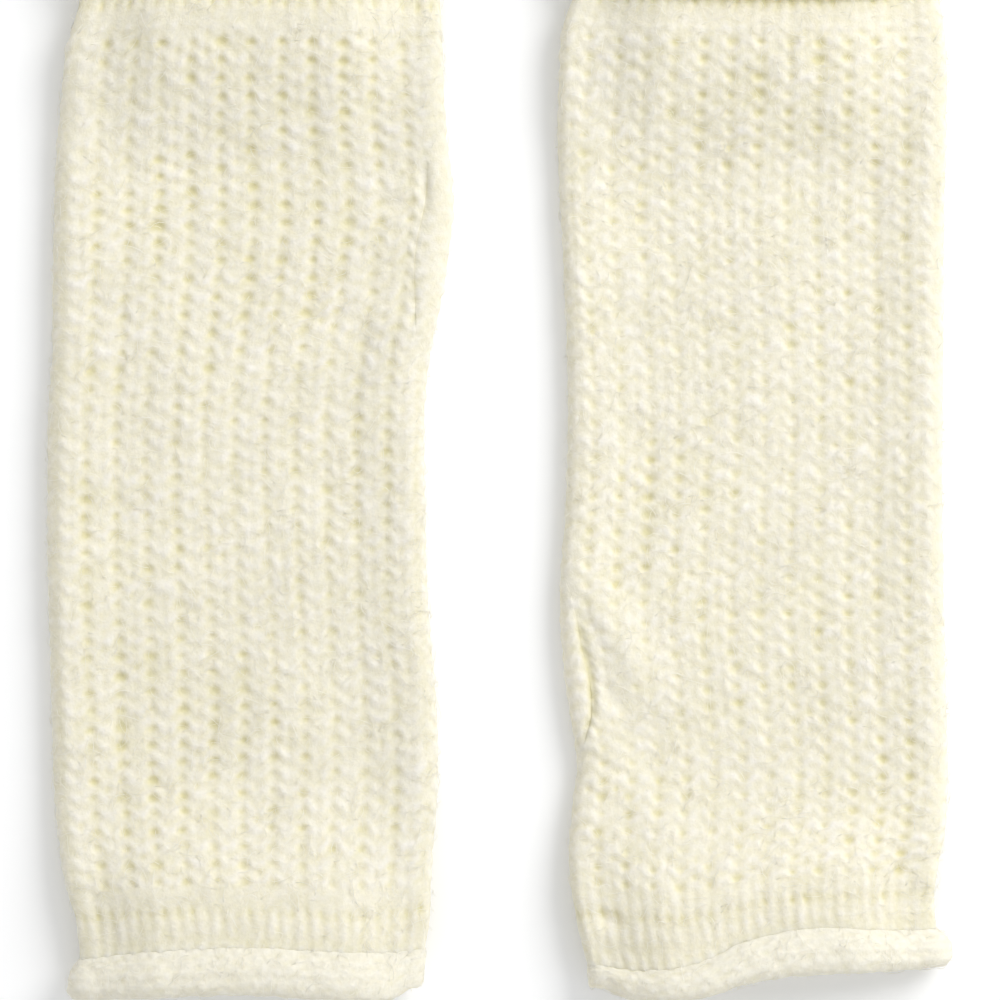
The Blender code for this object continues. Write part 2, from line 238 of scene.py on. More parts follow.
class Warmer:
    """The middle surface of one warmer, as a function of the row along Y."""

    def __init__(self, side):
        self.side = side
        self.sides = SIDES[side]
        self.top = self.sides[0][0]
        self.bottom = self.sides[-1][0]
        self.slit = SLITS[side]
        self.slit_top = self.slit[0][0]
        self.slit_bottom = self.slit[-1][0]
        self.seam = SLIT_SIDE[side]

    def to_end(self, y):
        return min(self.top - y, y - self.bottom)

    def lift(self, y):
        down = ease((self.to_end(y) - LIFT_FLAT) / (LIFT_REACH - LIFT_FLAT))
        return LIFT * (1.0 - down)

    def mouth(self, y):
        return float(1.0 - ease((self.to_end(y) - LIFT_FLAT)
                                / (LIFT_REACH - LIFT_FLAT)))

    def fold_gap(self, y):
        m = self.mouth(y)
        return FOLD_GAP * (1.0 - m) + MOUTH_FOLD_GAP * m

    def opened(self, y):
        """1 along the thumb slit, 0 where the side is seamed."""
        inside = min(self.slit_top - y, y - self.slit_bottom)
        return float(ease(inside / SLIT_EASE))

    def columns(self, y, half):
        left = float(table(self.sides, y, 1))
        right = float(table(self.sides, y, 2))
        lift, gap = self.lift(y), self.fold_gap(y)
        rise = 0.5 * (gap + CLOTH)
        lean = rise * FOLD_LEAN
        middle = lift + CLOTH + 0.5 * gap
        sign = 1.0 if half == "front" else -1.0
        angles = np.radians(FOLD_ANGLES)
        inward = 0.5 * CLOTH + lean * (1.0 - np.cos(angles))
        height = middle + sign * rise * np.sin(angles)
        sides = {}
        for edge in (-1, 1):
            offset, z = inward.copy(), height.copy()
            sides[edge] = (offset, z)
        x_left = left + sides[-1][0]
        x_right = right - sides[1][0]
        inner = np.linspace(x_left[-1], x_right[-1], FLAT_COLUMNS + 2)[1:-1]
        x = np.concatenate([x_left, inner, x_right[::-1]])
        if half == "front":
            z_inner = self.front_height(inner, y, left, right)
        else:
            z_inner = np.full(len(inner), lift + 0.5 * CLOTH)
        z = np.concatenate([sides[-1][1], z_inner, sides[1][1][::-1]])
        return x, z

    def front_height(self, x, y, left, right):
        lift, side_gap, mouth = self.lift(y), self.fold_gap(y), self.mouth(y)
        to_side = np.minimum(x - left, right - x)
        near = 1.0 - ease((to_side - 4.0) / (FOLD_REACH - 4.0))
        gap = REST_GAP + (side_gap - REST_GAP) * near
        gap = gap + ridge_height(x, np.full_like(x, y), RIDGES[self.side]) \
            * (1.0 - mouth)
        centre = 0.5 * (left + right)
        open_mouth = ease((MOUTH_HALF + MOUTH_EASE - np.abs(x - centre))
                          / MOUTH_EASE)
        gap = gap + (MOUTH_GAPE - gap) * open_mouth * mouth
        return lift + CLOTH + gap + 0.5 * CLOTH

    def shifted(self, x, y):
        top = table(HEMS[self.side, "top"], x, 1) - self.top
        bottom = table(HEMS[self.side, "bottom"], x, 1) - self.bottom
        near_top = 1.0 - ease((self.top - y) / HEM_REACH)
        near_bottom = 1.0 - ease((y - self.bottom) / HEM_REACH)
        return y + top * near_top + bottom * near_bottom

    def section(self, y, half):
        """Outer points and outward normals of one half, left to right."""
        x, z = self.columns(y, half)
        tangent = np.stack([np.gradient(x), np.gradient(z)], axis=1)
        tangent[0] = (x[1] - x[0], z[1] - z[0])
        tangent[-1] = (x[-1] - x[-2], z[-1] - z[-2])
        tangent[0] = (0.0, 1.0 if half == "front" else -1.0)
        tangent[-1] = (0.0, -1.0 if half == "front" else 1.0)
        tangent /= np.linalg.norm(tangent, axis=1)[:, None]
        normal = np.stack([-tangent[:, 1], tangent[:, 0]], axis=1)
        if half == "back":
            normal = -normal
        middle = np.stack([x, self.shifted(x, y), z], axis=1)
        out = np.stack([normal[:, 0], np.zeros(len(x)), normal[:, 1]], axis=1)
        outer = middle + out * 0.5 * CLOTH
        if half == "back":
            flat = np.abs(normal[:, 1] + 1.0) < 0.02
            outer[flat, 2] = self.lift(y)
        return outer, out


class Skin:
    """The outer face of one warmer, read at any stitch column and row.

    Stitch columns w run round the tube from its left fold: 0 to TURN over
    the upper half, on to 2 * TURN over the lower half.
    """

    ACROSS = 145

    def __init__(self, side, index):
        self.side = side
        self.index = index
        self.warmer = Warmer(side)
        self.top, self.bottom = self.warmer.top, self.warmer.bottom
        self.seam = SLIT_SIDE[side]
        count = 161
        self.rows = np.linspace(self.top, self.bottom, count)
        self.points = np.empty((2, count, self.ACROSS, 3))
        self.out = np.empty((2, count, self.ACROSS, 3))
        self.arc = np.empty((2, count))
        slit = np.empty(count)
        for h, half in enumerate(("front", "back")):
            for r, y in enumerate(self.rows):
                outer, out = self.warmer.section(y, half)
                step = np.linalg.norm(np.diff(outer[:, (0, 2)], axis=0), axis=1)
                arc = np.concatenate([[0.0], np.cumsum(step)])
                even = np.linspace(0.0, arc[-1], self.ACROSS)
                for k in range(3):
                    self.points[h, r, :, k] = np.interp(even, arc, outer[:, k])
                    self.out[h, r, :, k] = np.interp(even, arc, out[:, k])
                self.arc[h, r] = arc[-1]
                if h == 0:
                    edge = outer[-1, 0] if self.seam > 0 else outer[0, 0]
                    lip = edge - self.seam * float(table(self.warmer.slit, y, 1))
                    at = np.interp(lip, outer[:, 0], arc) / arc[-1] * TURN
                    slit[r] = TURN - at if self.seam > 0 else at
        # where the seam and the slit run, in columns in from the side fold
        beyond = np.maximum(np.maximum(self.rows - self.warmer.slit_top,
                                       self.warmer.slit_bottom - self.rows), 0)
        near = 1.0 - ease(beyond / 12.0)
        self.seam_in = SEAM_REST + (np.maximum(slit, SEAM_REST)
                                    - SEAM_REST) * near
        self.open_at = np.array([self.warmer.opened(y) for y in self.rows])
        self.square_up()
        self.crumple()

    def square_up(self):
        """Turn the normals square to the rows' slope as well."""
        along = np.gradient(self.points, axis=1)
        share = (self.out * along).sum(-1) / (along * along).sum(-1)
        self.out -= along * share[..., None]
        self.out /= np.linalg.norm(self.out, axis=-1)[..., None]

    def crumple(self):
        """Small creases, and the slight unevenness of cloth that was worn."""
        x, y = self.points[0, :, :, 0], self.points[0, :, :, 1]
        left, right = x[:, :1], x[:, -1:]
        inside = ease((np.minimum(x - left, right - x) - 1.0) / 9.0)
        ends = ease((np.minimum(self.top - self.rows,
                                self.rows - self.bottom) - 9.0) / 12.0)[:, None]
        waves = (0.17 * field(SEED + 3 + self.index, 17.0)(x * 1.2, y)
                 + 0.11 * field(SEED + 5 + self.index, 8.5)(x, y * 0.8))
        height = waves * inside * ends + ridge_height(x, y, CREASES[self.side])
        # the groove of the seam next to the slit
        w = np.linspace(0.0, TURN, self.ACROSS)[None]
        q = TURN - w if self.seam > 0 else w
        near = np.maximum(np.maximum(self.rows - self.warmer.slit_top,
                                     self.warmer.slit_bottom - self.rows), 0)
        groove = 0.10 * np.exp(-((q - self.seam_in[:, None]) * WALE / 1.2) ** 2)
        height = height - groove * np.exp(-near / 11.0)[:, None]
        self.points[0] += self.out[0] * height[..., None]
        along = np.gradient(self.points[0], axis=0)
        across = np.gradient(self.points[0], axis=1)
        normal = np.cross(along, across)
        normal /= np.maximum(np.linalg.norm(normal, axis=-1), 1e-9)[..., None]
        normal *= np.sign((normal * self.out[0]).sum(-1))[..., None]
        blend = inside[..., None]
        mixed = self.out[0] * (1.0 - blend) + normal * blend
        self.out[0] = mixed / np.linalg.norm(mixed, axis=-1)[..., None]

    def seam_at(self, v):
        """Columns in from the side fold at which the seam or slit runs, and
        how open it is there."""
        return (np.interp(-np.asarray(v), -self.rows, self.seam_in),
                np.interp(-np.asarray(v), -self.rows, self.open_at))

    def inward(self, w):
        """Columns in from the seam's side fold, over the upper half; less
        than 0 on the lower half."""
        w = np.mod(w, 2.0 * TURN)
        if self.seam > 0:
            return TURN - w
        return np.where(w > 1.5 * TURN, w - 2.0 * TURN, w)

    def at(self, w, v, h=0.0, lower=False):
        """Points and normals at stitch column w, row v, height h. lower reads
        the slit's lower lip, else the cloth on the other side of the slit."""
        w, v, h = np.broadcast_arrays(np.asarray(w, float),
                                      np.asarray(v, float),
                                      np.asarray(h, float))
        w = np.mod(w, 2.0 * TURN)
        half = (w > TURN).astype(int)
        from_left = np.where(half == 0, w, 2.0 * TURN - w)
        r = np.clip((self.top - v) / (self.top - self.bottom), 0.0, 1.0)
        r = r * (len(self.rows) - 1)
        r0 = np.minimum(np.floor(r).astype(int), len(self.rows) - 2)
        tr = (r - r0)[..., None]
        c = np.clip(from_left / TURN, 0.0, 1.0) * (self.ACROSS - 1)
        c0 = np.minimum(np.floor(c).astype(int), self.ACROSS - 2)
        tc = (c - c0)[..., None]

        def read(grid):
            upper = grid[half, r0, c0] * (1 - tc) + grid[half, r0, c0 + 1] * tc
            lower_ = grid[half, r0 + 1, c0] * (1 - tc) \
                + grid[half, r0 + 1, c0 + 1] * tc
            return upper * (1 - tr) + lower_ * tr

        out = read(self.out)
        out /= np.linalg.norm(out, axis=-1)[..., None]
        # the lips: the upper one stands up a little and rounds over its edge,
        # the lower one dips under it
        q = np.where(half == 0, self.inward(w), -1.0)
        past, dip = self.crease(q, v, lower)
        opened = self.seam_at(v)[1]
        rise = LIP_RISE[self.side] * (np.exp(-past / 6.0)
                                      - np.exp(-(past / 1.3) ** 2)) * opened
        lip = (np.where(lower, 0.0, rise) - dip) * (q >= 0)
        return read(self.points) + out * (h + lip)[..., None], out

    def crease(self, q, v, lower):
        """How far a point q columns in from the fold is from the slit, mm,
        and how deep the soft crease between its lips is there."""
        line, opened = self.seam_at(v)
        past = np.maximum(np.where(lower, line - q, q - line), 0.0) * WALE
        wide = LIP_WIDE[self.side]
        return past, LIP_DIP[self.side] * opened * np.exp(-(past / wide) ** 2)

    def across(self, w):
        """About how far a stitch column is from the centre line, mm."""
        w = np.mod(w, 2.0 * TURN)
        return np.where(w <= TURN, w - 0.5 * TURN, 1.5 * TURN - w) * WALE

    def under(self, w):
        """1 where the cloth rests on its underside, 0 on the upper half."""
        w = np.mod(w, 2.0 * TURN)
        return ease((np.minimum(w - TURN, 2.0 * TURN - w)) / 0.6)


# ---------------------------------------------------------------- mesh makers
def make_object(name, verts, faces, attributes):
    """One mesh from points in mm and rows of face corners (several arrays)."""
    mesh = bpy.data.meshes.new(name)
    corners = np.concatenate([f.ravel() for f in faces]).astype(np.int32)
    sizes = np.concatenate([np.full(len(f), f.shape[1]) for f in faces])
    starts = np.concatenate([[0], np.cumsum(sizes)[:-1]]).astype(np.int32)
    mesh.vertices.add(len(verts))
    mesh.vertices.foreach_set("co", (verts * MM).astype(np.float32).ravel())
    mesh.loops.add(len(corners))
    mesh.loops.foreach_set("vertex_index", corners)
    mesh.polygons.add(len(starts))
    mesh.polygons.foreach_set("loop_start", starts)
    mesh.update(calc_edges=True)
    mesh.validate()
    mesh.shade_smooth()
    for key, values in attributes.items():
        kind = "FLOAT" if values.ndim == 1 else "FLOAT_VECTOR"
        layer = mesh.attributes.new(key, kind, "POINT")
        layer.data.foreach_set("value" if values.ndim == 1 else "vector",
                               values.astype(np.float32).ravel())
    obj = bpy.data.objects.new(name, mesh)
    bpy.context.scene.collection.objects.link(obj)
    return obj


class Yarn:
    """Collects tubes of yarn and joins them into one mesh."""

    def __init__(self, seed):
        self.parts = []
        self.rng = np.random.default_rng(seed)

    def add(self, centre, normal, wide, high, depth, sides, floor=None):
        """Tubes along centre[m, k]; wide and high are half widths, depth the
        height of the centre over the cloth's face."""
        m, k, _ = centre.shape
        tangent = np.gradient(centre, axis=1)
        tangent /= np.maximum(np.linalg.norm(tangent, axis=-1), 1e-9)[..., None]
        normal = normal - tangent * (normal * tangent).sum(-1)[..., None]
        normal /= np.maximum(np.linalg.norm(normal, axis=-1), 1e-9)[..., None]
        across = np.cross(tangent, normal)
        wide = np.broadcast_to(wide, (m, k))
        high = np.broadcast_to(high, (m, k))
        depth = np.broadcast_to(depth, (m, k))
        angle = np.linspace(0.0, 2.0 * math.pi, sides, endpoint=False)
        cos, sin = np.cos(angle), np.sin(angle)
        ring = (centre[:, :, None, :]
                + across[:, :, None, :] * (wide[..., None] * cos)[..., None]
                + normal[:, :, None, :] * (high[..., None] * sin)[..., None])
        if floor is not None:
            ring[..., 2] = np.maximum(ring[..., 2], floor)
        length = np.concatenate(
            [np.zeros((m, 1)),
             np.cumsum(np.linalg.norm(np.diff(centre, axis=1), axis=-1),
                       axis=1)], axis=1)
        strand = self.rng.uniform(0.0, 100.0, m)
        fibre = np.stack([
            np.broadcast_to(length[..., None], (m, k, sides)),
            np.broadcast_to(wide[..., None] * sin * 1.2, (m, k, sides)),
            np.broadcast_to(strand[:, None, None]
                            + wide[..., None] * cos * 1.2, (m, k, sides)),
        ], axis=-1)
        self.parts.append((
            ring.reshape(m, k * sides, 3),
            fibre.reshape(m, k * sides, 3),
            (depth[..., None] + high[..., None] * sin).reshape(m, k * sides),
            np.broadcast_to(strand[:, None] * 0.01, (m, k * sides)),
            k, sides))

    def build(self, name, shift):
        verts, fibres, depths, strands, faces = [], [], [], [], []
        total = 0
        for ring, fibre, depth, strand, k, sides in self.parts:
            m = len(ring)
            index = (total + np.arange(m)[:, None, None] * k * sides
                     + np.arange(k)[None, :, None] * sides
                     + np.arange(sides)[None, None, :])
            turned = np.roll(index, -1, axis=2)
            faces.append(np.stack([index[:, :-1], index[:, 1:],
                                   turned[:, 1:], turned[:, :-1]],
                                  axis=-1).reshape(-1, 4))
            faces.append(index[:, 0, :].reshape(-1, sides))
            faces.append(index[:, -1, ::-1].reshape(-1, sides))
            verts.append(ring.reshape(-1, 3))
            fibres.append(fibre.reshape(-1, 3))
            depths.append(depth.ravel())
            strands.append(strand.ravel())
            total += m * k * sides
        verts = np.concatenate(verts) + np.array(shift)
        return make_object(name, verts, faces, {
            "fibre": np.concatenate(fibres), "depth": np.concatenate(depths),
            "strand": np.concatenate(strands)})


# ------------------------------------------------------------ stitch layout
class Layout:
    """Where the rows of stitches run on one warmer."""

    def __init__(self, skin):
        self.skin = skin
        self.high, self.low = LATTICE[skin.side]
        self.count = int(round((self.high - self.low) / COURSE))
        self.step = (self.high - self.low) / self.count
        self.first = -(skin.top - self.high) / self.step
        self.last = self.count + (self.low - skin.bottom) / self.step
        self.drift = field(SEED + 21 + skin.index, 3.4)
        self.sway = field(SEED + 23 + skin.index, 9.0)
        self.patch = field(SEED + 25 + skin.index, 4.6)
        self.fine = field(SEED + 27 + skin.index, 1.0)

    def calm(self, j):
        from_end = np.minimum(j, self.count - j) * self.step
        return ease(from_end / 34.0)

    def row(self, j, w):
        """Row v of course j (may be a fraction) at stitch column w."""
        j = np.asarray(j, dtype=float)
        calm = self.calm(j)
        x = self.skin.across(w)
        tilt = TILT[self.skin.side] * x * calm
        wave = 0.85 * self.drift(x / 7.0, j * 0.55) * calm
        return self.high - j * self.step + tilt + wave

    def sideways(self, j, w):
        """How far a stitch column wanders, in columns."""
        j = np.asarray(j, dtype=float)
        return 0.15 * self.sway(self.skin.across(w) / 7.0, j * 0.8)

    def flat(self, j, w):
        """1 where the stitches are pulled flat: at the side folds and beside
        the thumb slit."""
        x = self.skin.across(w)
        v = self.high - np.asarray(j, dtype=float) * self.step
        side = 0.30 * (1.0 - ease((0.5 * TURN * WALE - np.abs(x) - 1.0) / 6.0))
        if self.skin.side == "right":
            spots = ((-37.0, -34.0, -31.0, -64.0, 1.3, 8.0),)
        else:
            spots = ((42.0, 108.0, 42.0, 30.0, 1.2, 5.0),)
        return np.clip(side + ridge_height(x, v, spots), 0.0, 1.0)

    def openness(self, j, w):
        """How open a hole is, from 0 to about 1.4."""
        x = self.skin.across(w)
        j = np.asarray(j, dtype=float)
        v = self.high - j * self.step
        value = (0.76 + 0.32 * self.patch(x / 7.0, j * 0.9)
                 + 0.22 * self.fine(x / 7.0 + 31.3, j + 7.7))
        if self.skin.side == "right":
            plain = ridge_height(x, v, ((-35.0, -34.0, -30.0, -62.0, 1.0,
                                         7.5),))
        else:
            plain = ridge_height(x, v, ((42.5, 112.0, 42.5, 34.0, 1.0, 5.0),))
        value = value * (1.0 - 0.9 * np.clip(plain * 1.4, 0.0, 1.0))
        return np.clip(value, 0.10, 1.35)


# One leg of a V stitch: sideways in columns, along in courses, height of its
# back over the cloth's face, and half width.
LEG = np.array((
    (0.040, -0.64, -0.75, 0.75),
    (0.075, -0.44, -0.12, 0.95),
    (0.150, -0.18, 0.22, 1.10),
    (0.238, 0.06, 0.30, 1.15),
    (0.322, 0.29, 0.20, 1.10),
    (0.395, 0.50, -0.15, 0.95),
    (0.445, 0.68, -0.80, 0.75),
))
BAND_LEG = np.array((
    (0.170, -0.56, -0.70, 0.75),
    (0.195, -0.40, -0.10, 0.95),
    (0.215, -0.19, 0.22, 1.08),
    (0.235, 0.03, 0.30, 1.12),
    (0.255, 0.24, 0.20, 1.08),
    (0.270, 0.42, -0.12, 0.95),
    (0.285, 0.56, -0.75, 0.75),
))
SHARP = 4.4          # how crisply one strand meets the next, per mm


class Relief:
    """Height of the knit's face: soft strands and small holes."""

    def __init__(self, skin, layout):
        self.skin, self.layout = skin, layout
        rng = np.random.default_rng(SEED + 300 + skin.index)
        self.start, self.pitch, self.count = HOLES[skin.side]
        wales = 2 * self.count + 4
        rows = layout.count + 30
        self.shift = 12          # row numbers may be a little under 0
        shape = (wales, rows, 2)
        self.dx = rng.normal(0.0, 0.14, shape)
        self.dy = rng.normal(0.0, 0.19, shape)
        self.dh = rng.normal(0.0, 0.10, shape)
        self.fat = 1.0 + rng.normal(0.0, 0.08, shape)
        self.lean = rng.normal(0.0, 0.06, shape)
        self.hole_dx = rng.normal(0.0, 0.22, shape[:2])
        self.hole_dy = rng.normal(0.0, 0.19, shape[:2])
        self.hole_size = 1.0 + rng.normal(0.0, 0.16, shape[:2])
        self.hole_luck = rng.random(shape[:2])
        self.tuft = np.clip(rng.normal(0.16, 0.11, shape[:2]), 0.0, 0.45)
        self.spot = np.clip(rng.normal(0.12, 0.30, shape[:2]), 0.0, 0.8)
        self.lint = field(SEED + 310 + skin.index, 0.62)
        self.tufts = field(SEED + 312 + skin.index, 1.7)
        self.clumps = field(SEED + 314 + skin.index, 4.3)

    def wale_axis(self, k):
        """Stitch column of V number k round the tube: the folds carry one V
        each, and each half the rest, between its columns of holes."""
        k = np.asarray(k)
        lap, n = np.divmod(k, self.count)
        return lap * TURN + np.where(n == 0, 0.0,
                                     self.start + (n - 0.5) * self.pitch)

    def strands(self, w, y, leg, rows_at, row_size, phase):
        """Smooth union of the legs near each point. y is in mm, downward;
        rows_at gives the y of a row's middle."""
        facing = FACING[self.skin.side]
        lap = np.floor(w / TURN)
        local = w - lap * TURN
        n = np.clip(np.floor((local - self.start) / self.pitch) + 1, 0,
                    self.count)
        nearest = (lap * self.count + n).astype(int)
        j_near = np.round((y - phase) / row_size).astype(int)
        total = np.zeros_like(w)
        for dk in (-1, 0, 1):
            k = nearest + dk
            axis = self.wale_axis(k)
            key = np.mod(k, 2 * self.count) + 1
            away = np.abs(w - axis) * WALE
            use = away < 0.62 * WALE
            for dj in (-1, 0, 1):
                row = j_near + dj
                rkey = np.clip(row + self.shift, 0, self.dx.shape[1] - 1)
                for s, side in enumerate((-1.0, 1.0)):
                    ox = self.dx[key, rkey, s]
                    oy = self.dy[key, rkey, s]
                    oh = self.dh[key, rkey, s]
                    fat = self.fat[key, rkey, s]
                    lean = self.lean[key, rkey, s]
                    px = (w - axis) * WALE - ox
                    py = (rows_at(row) - y) * facing - oy
                    for a, b in zip(leg[:-1], leg[1:]):
                        ax = a[0] * side * WALE + lean * a[1] * 4.0
                        bx = b[0] * side * WALE + lean * b[1] * 4.0
                        ay, by = a[1] * row_size, b[1] * row_size
                        ex, ey = bx - ax, by - ay
                        t = np.clip(((px - ax) * ex + (py - ay) * ey)
                                    / (ex * ex + ey * ey), 0.0, 1.0)
                        d = np.hypot(px - ax - t * ex, py - ay - t * ey)
                        wide = (a[3] + (b[3] - a[3]) * t) * fat
                        top = a[2] + (b[2] - a[2]) * t + oh
                        z = top - 0.50 * (d / wide) ** 2
                        total += np.where(use, np.exp(
                            SHARP * np.clip(z, -3.0, 1.5)), 0.0)
        return total

    def lip_chain(self, w, j):
        """The flat slanting loops that finish both lips of the slit."""
        v = self.layout.high - j * self.layout.step
        line, opened = self.skin.seam_at(v)
        away = np.abs(self.skin.inward(w) - line) * WALE
        loop = 0.5 + 0.5 * np.cos(2.0 * math.pi * (v / 2.8 - FACING[
            self.skin.side] * 0.36 * away + 0.35 * self.clumps(v, v * 0.3)))
        tall = {"left": 0.10, "right": 0.22}[self.skin.side]
        return tall * opened * loop * np.exp(-((away - 1.5) / 1.0) ** 2)

    def height(self, w, j):
        """Height over the cloth's face at stitch column w, course j."""
        layout = self.layout
        y = j * COURSE
        # the open knit between the bands
        inside = ease((j + 0.2) / 0.5) * ease((layout.count + 0.55 - j) / 0.5)
        base = math.exp(SHARP * -0.20)
        knit = self.strands(w, y, LEG, lambda r: r * COURSE, COURSE, 0.0)
        h_knit = 0.76 * np.log(knit / 3.0 + base) / SHARP
        # the bands next to the rolled edges: one tall row of V stitches, with
        # a plainer row between it and the open knit
        band = np.zeros_like(w)
        plain = np.zeros_like(w)
        for zone, start, past in ((j < 3.0, 0.5, -1.0),
                                  (j > layout.count - 3.0,
                                   layout.count + 0.06, 1.0)):
            calm = 1.0 if self.skin.side == "left" or past < 0 else 0.25
            if not zone.any():
                continue
            y0 = start * COURSE

            def rows_at(r, y0=y0):
                return y0 + (r + 0.5) * BAND_COURSE

            band[zone] = self.strands(w[zone], y[zone], BAND_LEG, rows_at,
                                      BAND_COURSE, y0 + 0.5 * BAND_COURSE)
            plain[zone] = calm * (1.0 - ease(((y[zone] - y0) * past
                                              - 0.90 * BAND_COURSE) / 1.6))
        h_band = np.log(band / 3.0 + math.exp(SHARP * -0.42)) / SHARP
        h_band = 0.60 * h_band * (1.0 - 0.72 * plain) - 0.05 * plain
        h = h_knit * inside + h_band * (1.0 - inside)
        x = self.skin.across(w)
        flat = layout.flat(j, w)
        h = h * (1.0 - 0.62 * flat)
        # holes: in line between the columns of V stitches
        local = np.mod(w, TURN)
        lap = np.floor(w / TURN)
        place = (local - self.start) / self.pitch
        first = np.clip(np.floor(place), 0, self.count - 1)
        for dk in (0, 1):
            n = np.clip(np.floor(place) + dk, 0, self.count - 1)
            column = lap * TURN + self.start + n * self.pitch
            edge = np.where((n == 0) | (n == self.count - 1), 0.12, 1.0)
            key = (np.mod(lap, 2) * self.count + n).astype(int)
            for dj in (-1, 0, 1):
                row = np.round(j).astype(int) + dj
                rkey = np.clip(row + self.shift, 0, self.dx.shape[1] - 1)
                open_ = layout.openness(row, column) * edge \
                    * (0.58 + 0.60 * self.hole_luck[key, rkey])
                inside_row = (row >= 1) & (row <= layout.count)
                size = self.hole_size[key, rkey] * (0.70 + 0.30 * open_)
                dx = (w - column) * WALE - self.hole_dx[key, rkey]
                dy = (j - row) * COURSE - self.hole_dy[key, rkey]
                r = np.hypot(dx / (1.32 * size), dy / (0.86 * size))
                pit = 1.0 / (1.0 + r ** 3.4)
                use = inside_row & ((dk == 0) | (n > first))
                h = h - np.where(use, 0.80 * np.minimum(open_, 1.25) * pit, 0.0)
        # slits at the top of the tall band stitches
        for j0, past in ((0.5, -1.0), (layout.count + 0.06, 1.0)):
            d = ((j - j0) * COURSE * past - 0.98 * BAND_COURSE) / 1.1
            n = np.round(place * 2.0) / 2.0
            dx = (place - n) * self.pitch * WALE / 0.55
            key = (np.mod(lap, 2) * self.count
                   + np.clip(np.floor(n), 0, self.count - 1)).astype(int)
            luck = self.hole_luck[key, 3 + (n * 2 % 2).astype(int)
                                  + int(past) + 1]
            h = h - 0.58 * (0.25 + luck) / (1.0 + (dx * dx + d * d) ** 1.6)
        # tufts where the legs of a V meet, and faint spots where they part
        lapn = np.clip(np.floor(place) + 1, 0, self.count).astype(int)
        axis = np.where(lapn == 0, 0.0, self.start + (lapn - 0.5) * self.pitch)
        key = (np.mod(lap, 2) * self.count).astype(int) + lapn
        row = np.round(j - 0.5).astype(int)
        rkey = np.clip(row + self.shift, 0, self.dx.shape[1] - 1)
        dx = (local - axis) * WALE
        r = np.hypot(dx / 0.6, (j - row - 0.5) * COURSE / 0.7)
        h = h - 0.6 * self.spot[key, rkey] * inside / (1.0 + r ** 4)
        row = np.round(j).astype(int)
        rkey = np.clip(row + self.shift, 0, self.dx.shape[1] - 1)
        r = np.hypot(dx / 1.5, (j - row) * COURSE / 1.3)
        h = h + self.tuft[key, rkey] * inside * np.exp(-r * r)
        h = h + self.lip_chain(w, j)
        # lint
        h = h + 0.09 * self.tufts(x, y) + 0.04 * self.clumps(x, y)
        h = h + 0.05 * self.lint(x, y)
        # a shallow trough next to the right warmer's top rolled edge; through the
        # depth colour it also paints the rolled edge's shadow there
        if self.skin.side == "right":
            h = h + ridge_height(x, layout.high - j * layout.step, TOP_FOLD_AND_SHADE) \
                * (1.0 - self.skin.under(w))
        return np.maximum(h, -1.6)


# ------------------------------------------------------------- rolled edges
def curl_path(flap, nose, inset, count, low):
    """The face of a rolled edge, from the mouth's inside round the nose to
    its free edge: height over the panel's inner face, distance past the
    panel's end, and the direction out of the roll. low is 1 where the free
    edge merges with the panel."""
    half = 0.5 * ROLL_THICK - inset
    deep = max(0.6, min(0.5 * ROLL_THICK, nose - 0.35) - inset)
    centre = nose - inset - deep
    tip = 0.62 - 0.42 * low
    tip_at = CLOTH - 0.05
    tip -= min(inset, 0.55 * tip)
    points = [(inset, 0.2)]
    points += [(0.5 * ROLL_THICK - half * math.cos(a),
                centre + deep * math.sin(a))
               for a in np.linspace(0.0, math.pi, 15)]
    top, last = ROLL_THICK - inset, tip_at + tip
    points += [(top + (last - top) * f * f, -(flap - 1.6 * tip) * f)
               for f in (0.25, 0.5, 0.75)]
    points += [(tip_at + tip * math.cos(a), -flap + 1.6 * tip * (1 - math.sin(a)))
               for a in np.linspace(0.0, math.radians(90.0), 7)]
    points += [(tip_at - 0.35, -flap), (tip_at - 0.6, -flap + 0.3)]
    points = np.array(points)
    step = np.linalg.norm(np.diff(points, axis=0), axis=1)
    arc = np.concatenate([[0.0], np.cumsum(step)])
    even = np.linspace(0.0, arc[-1], count)
    path = np.stack([np.interp(even, arc, points[:, 0]),
                     np.interp(even, arc, points[:, 1])], axis=1)
    slope = np.gradient(path, axis=0)
    slope /= np.maximum(np.linalg.norm(slope, axis=1), 1e-9)[:, None]
    return path, np.stack([-slope[:, 1], slope[:, 0]], axis=1), arc[-1]


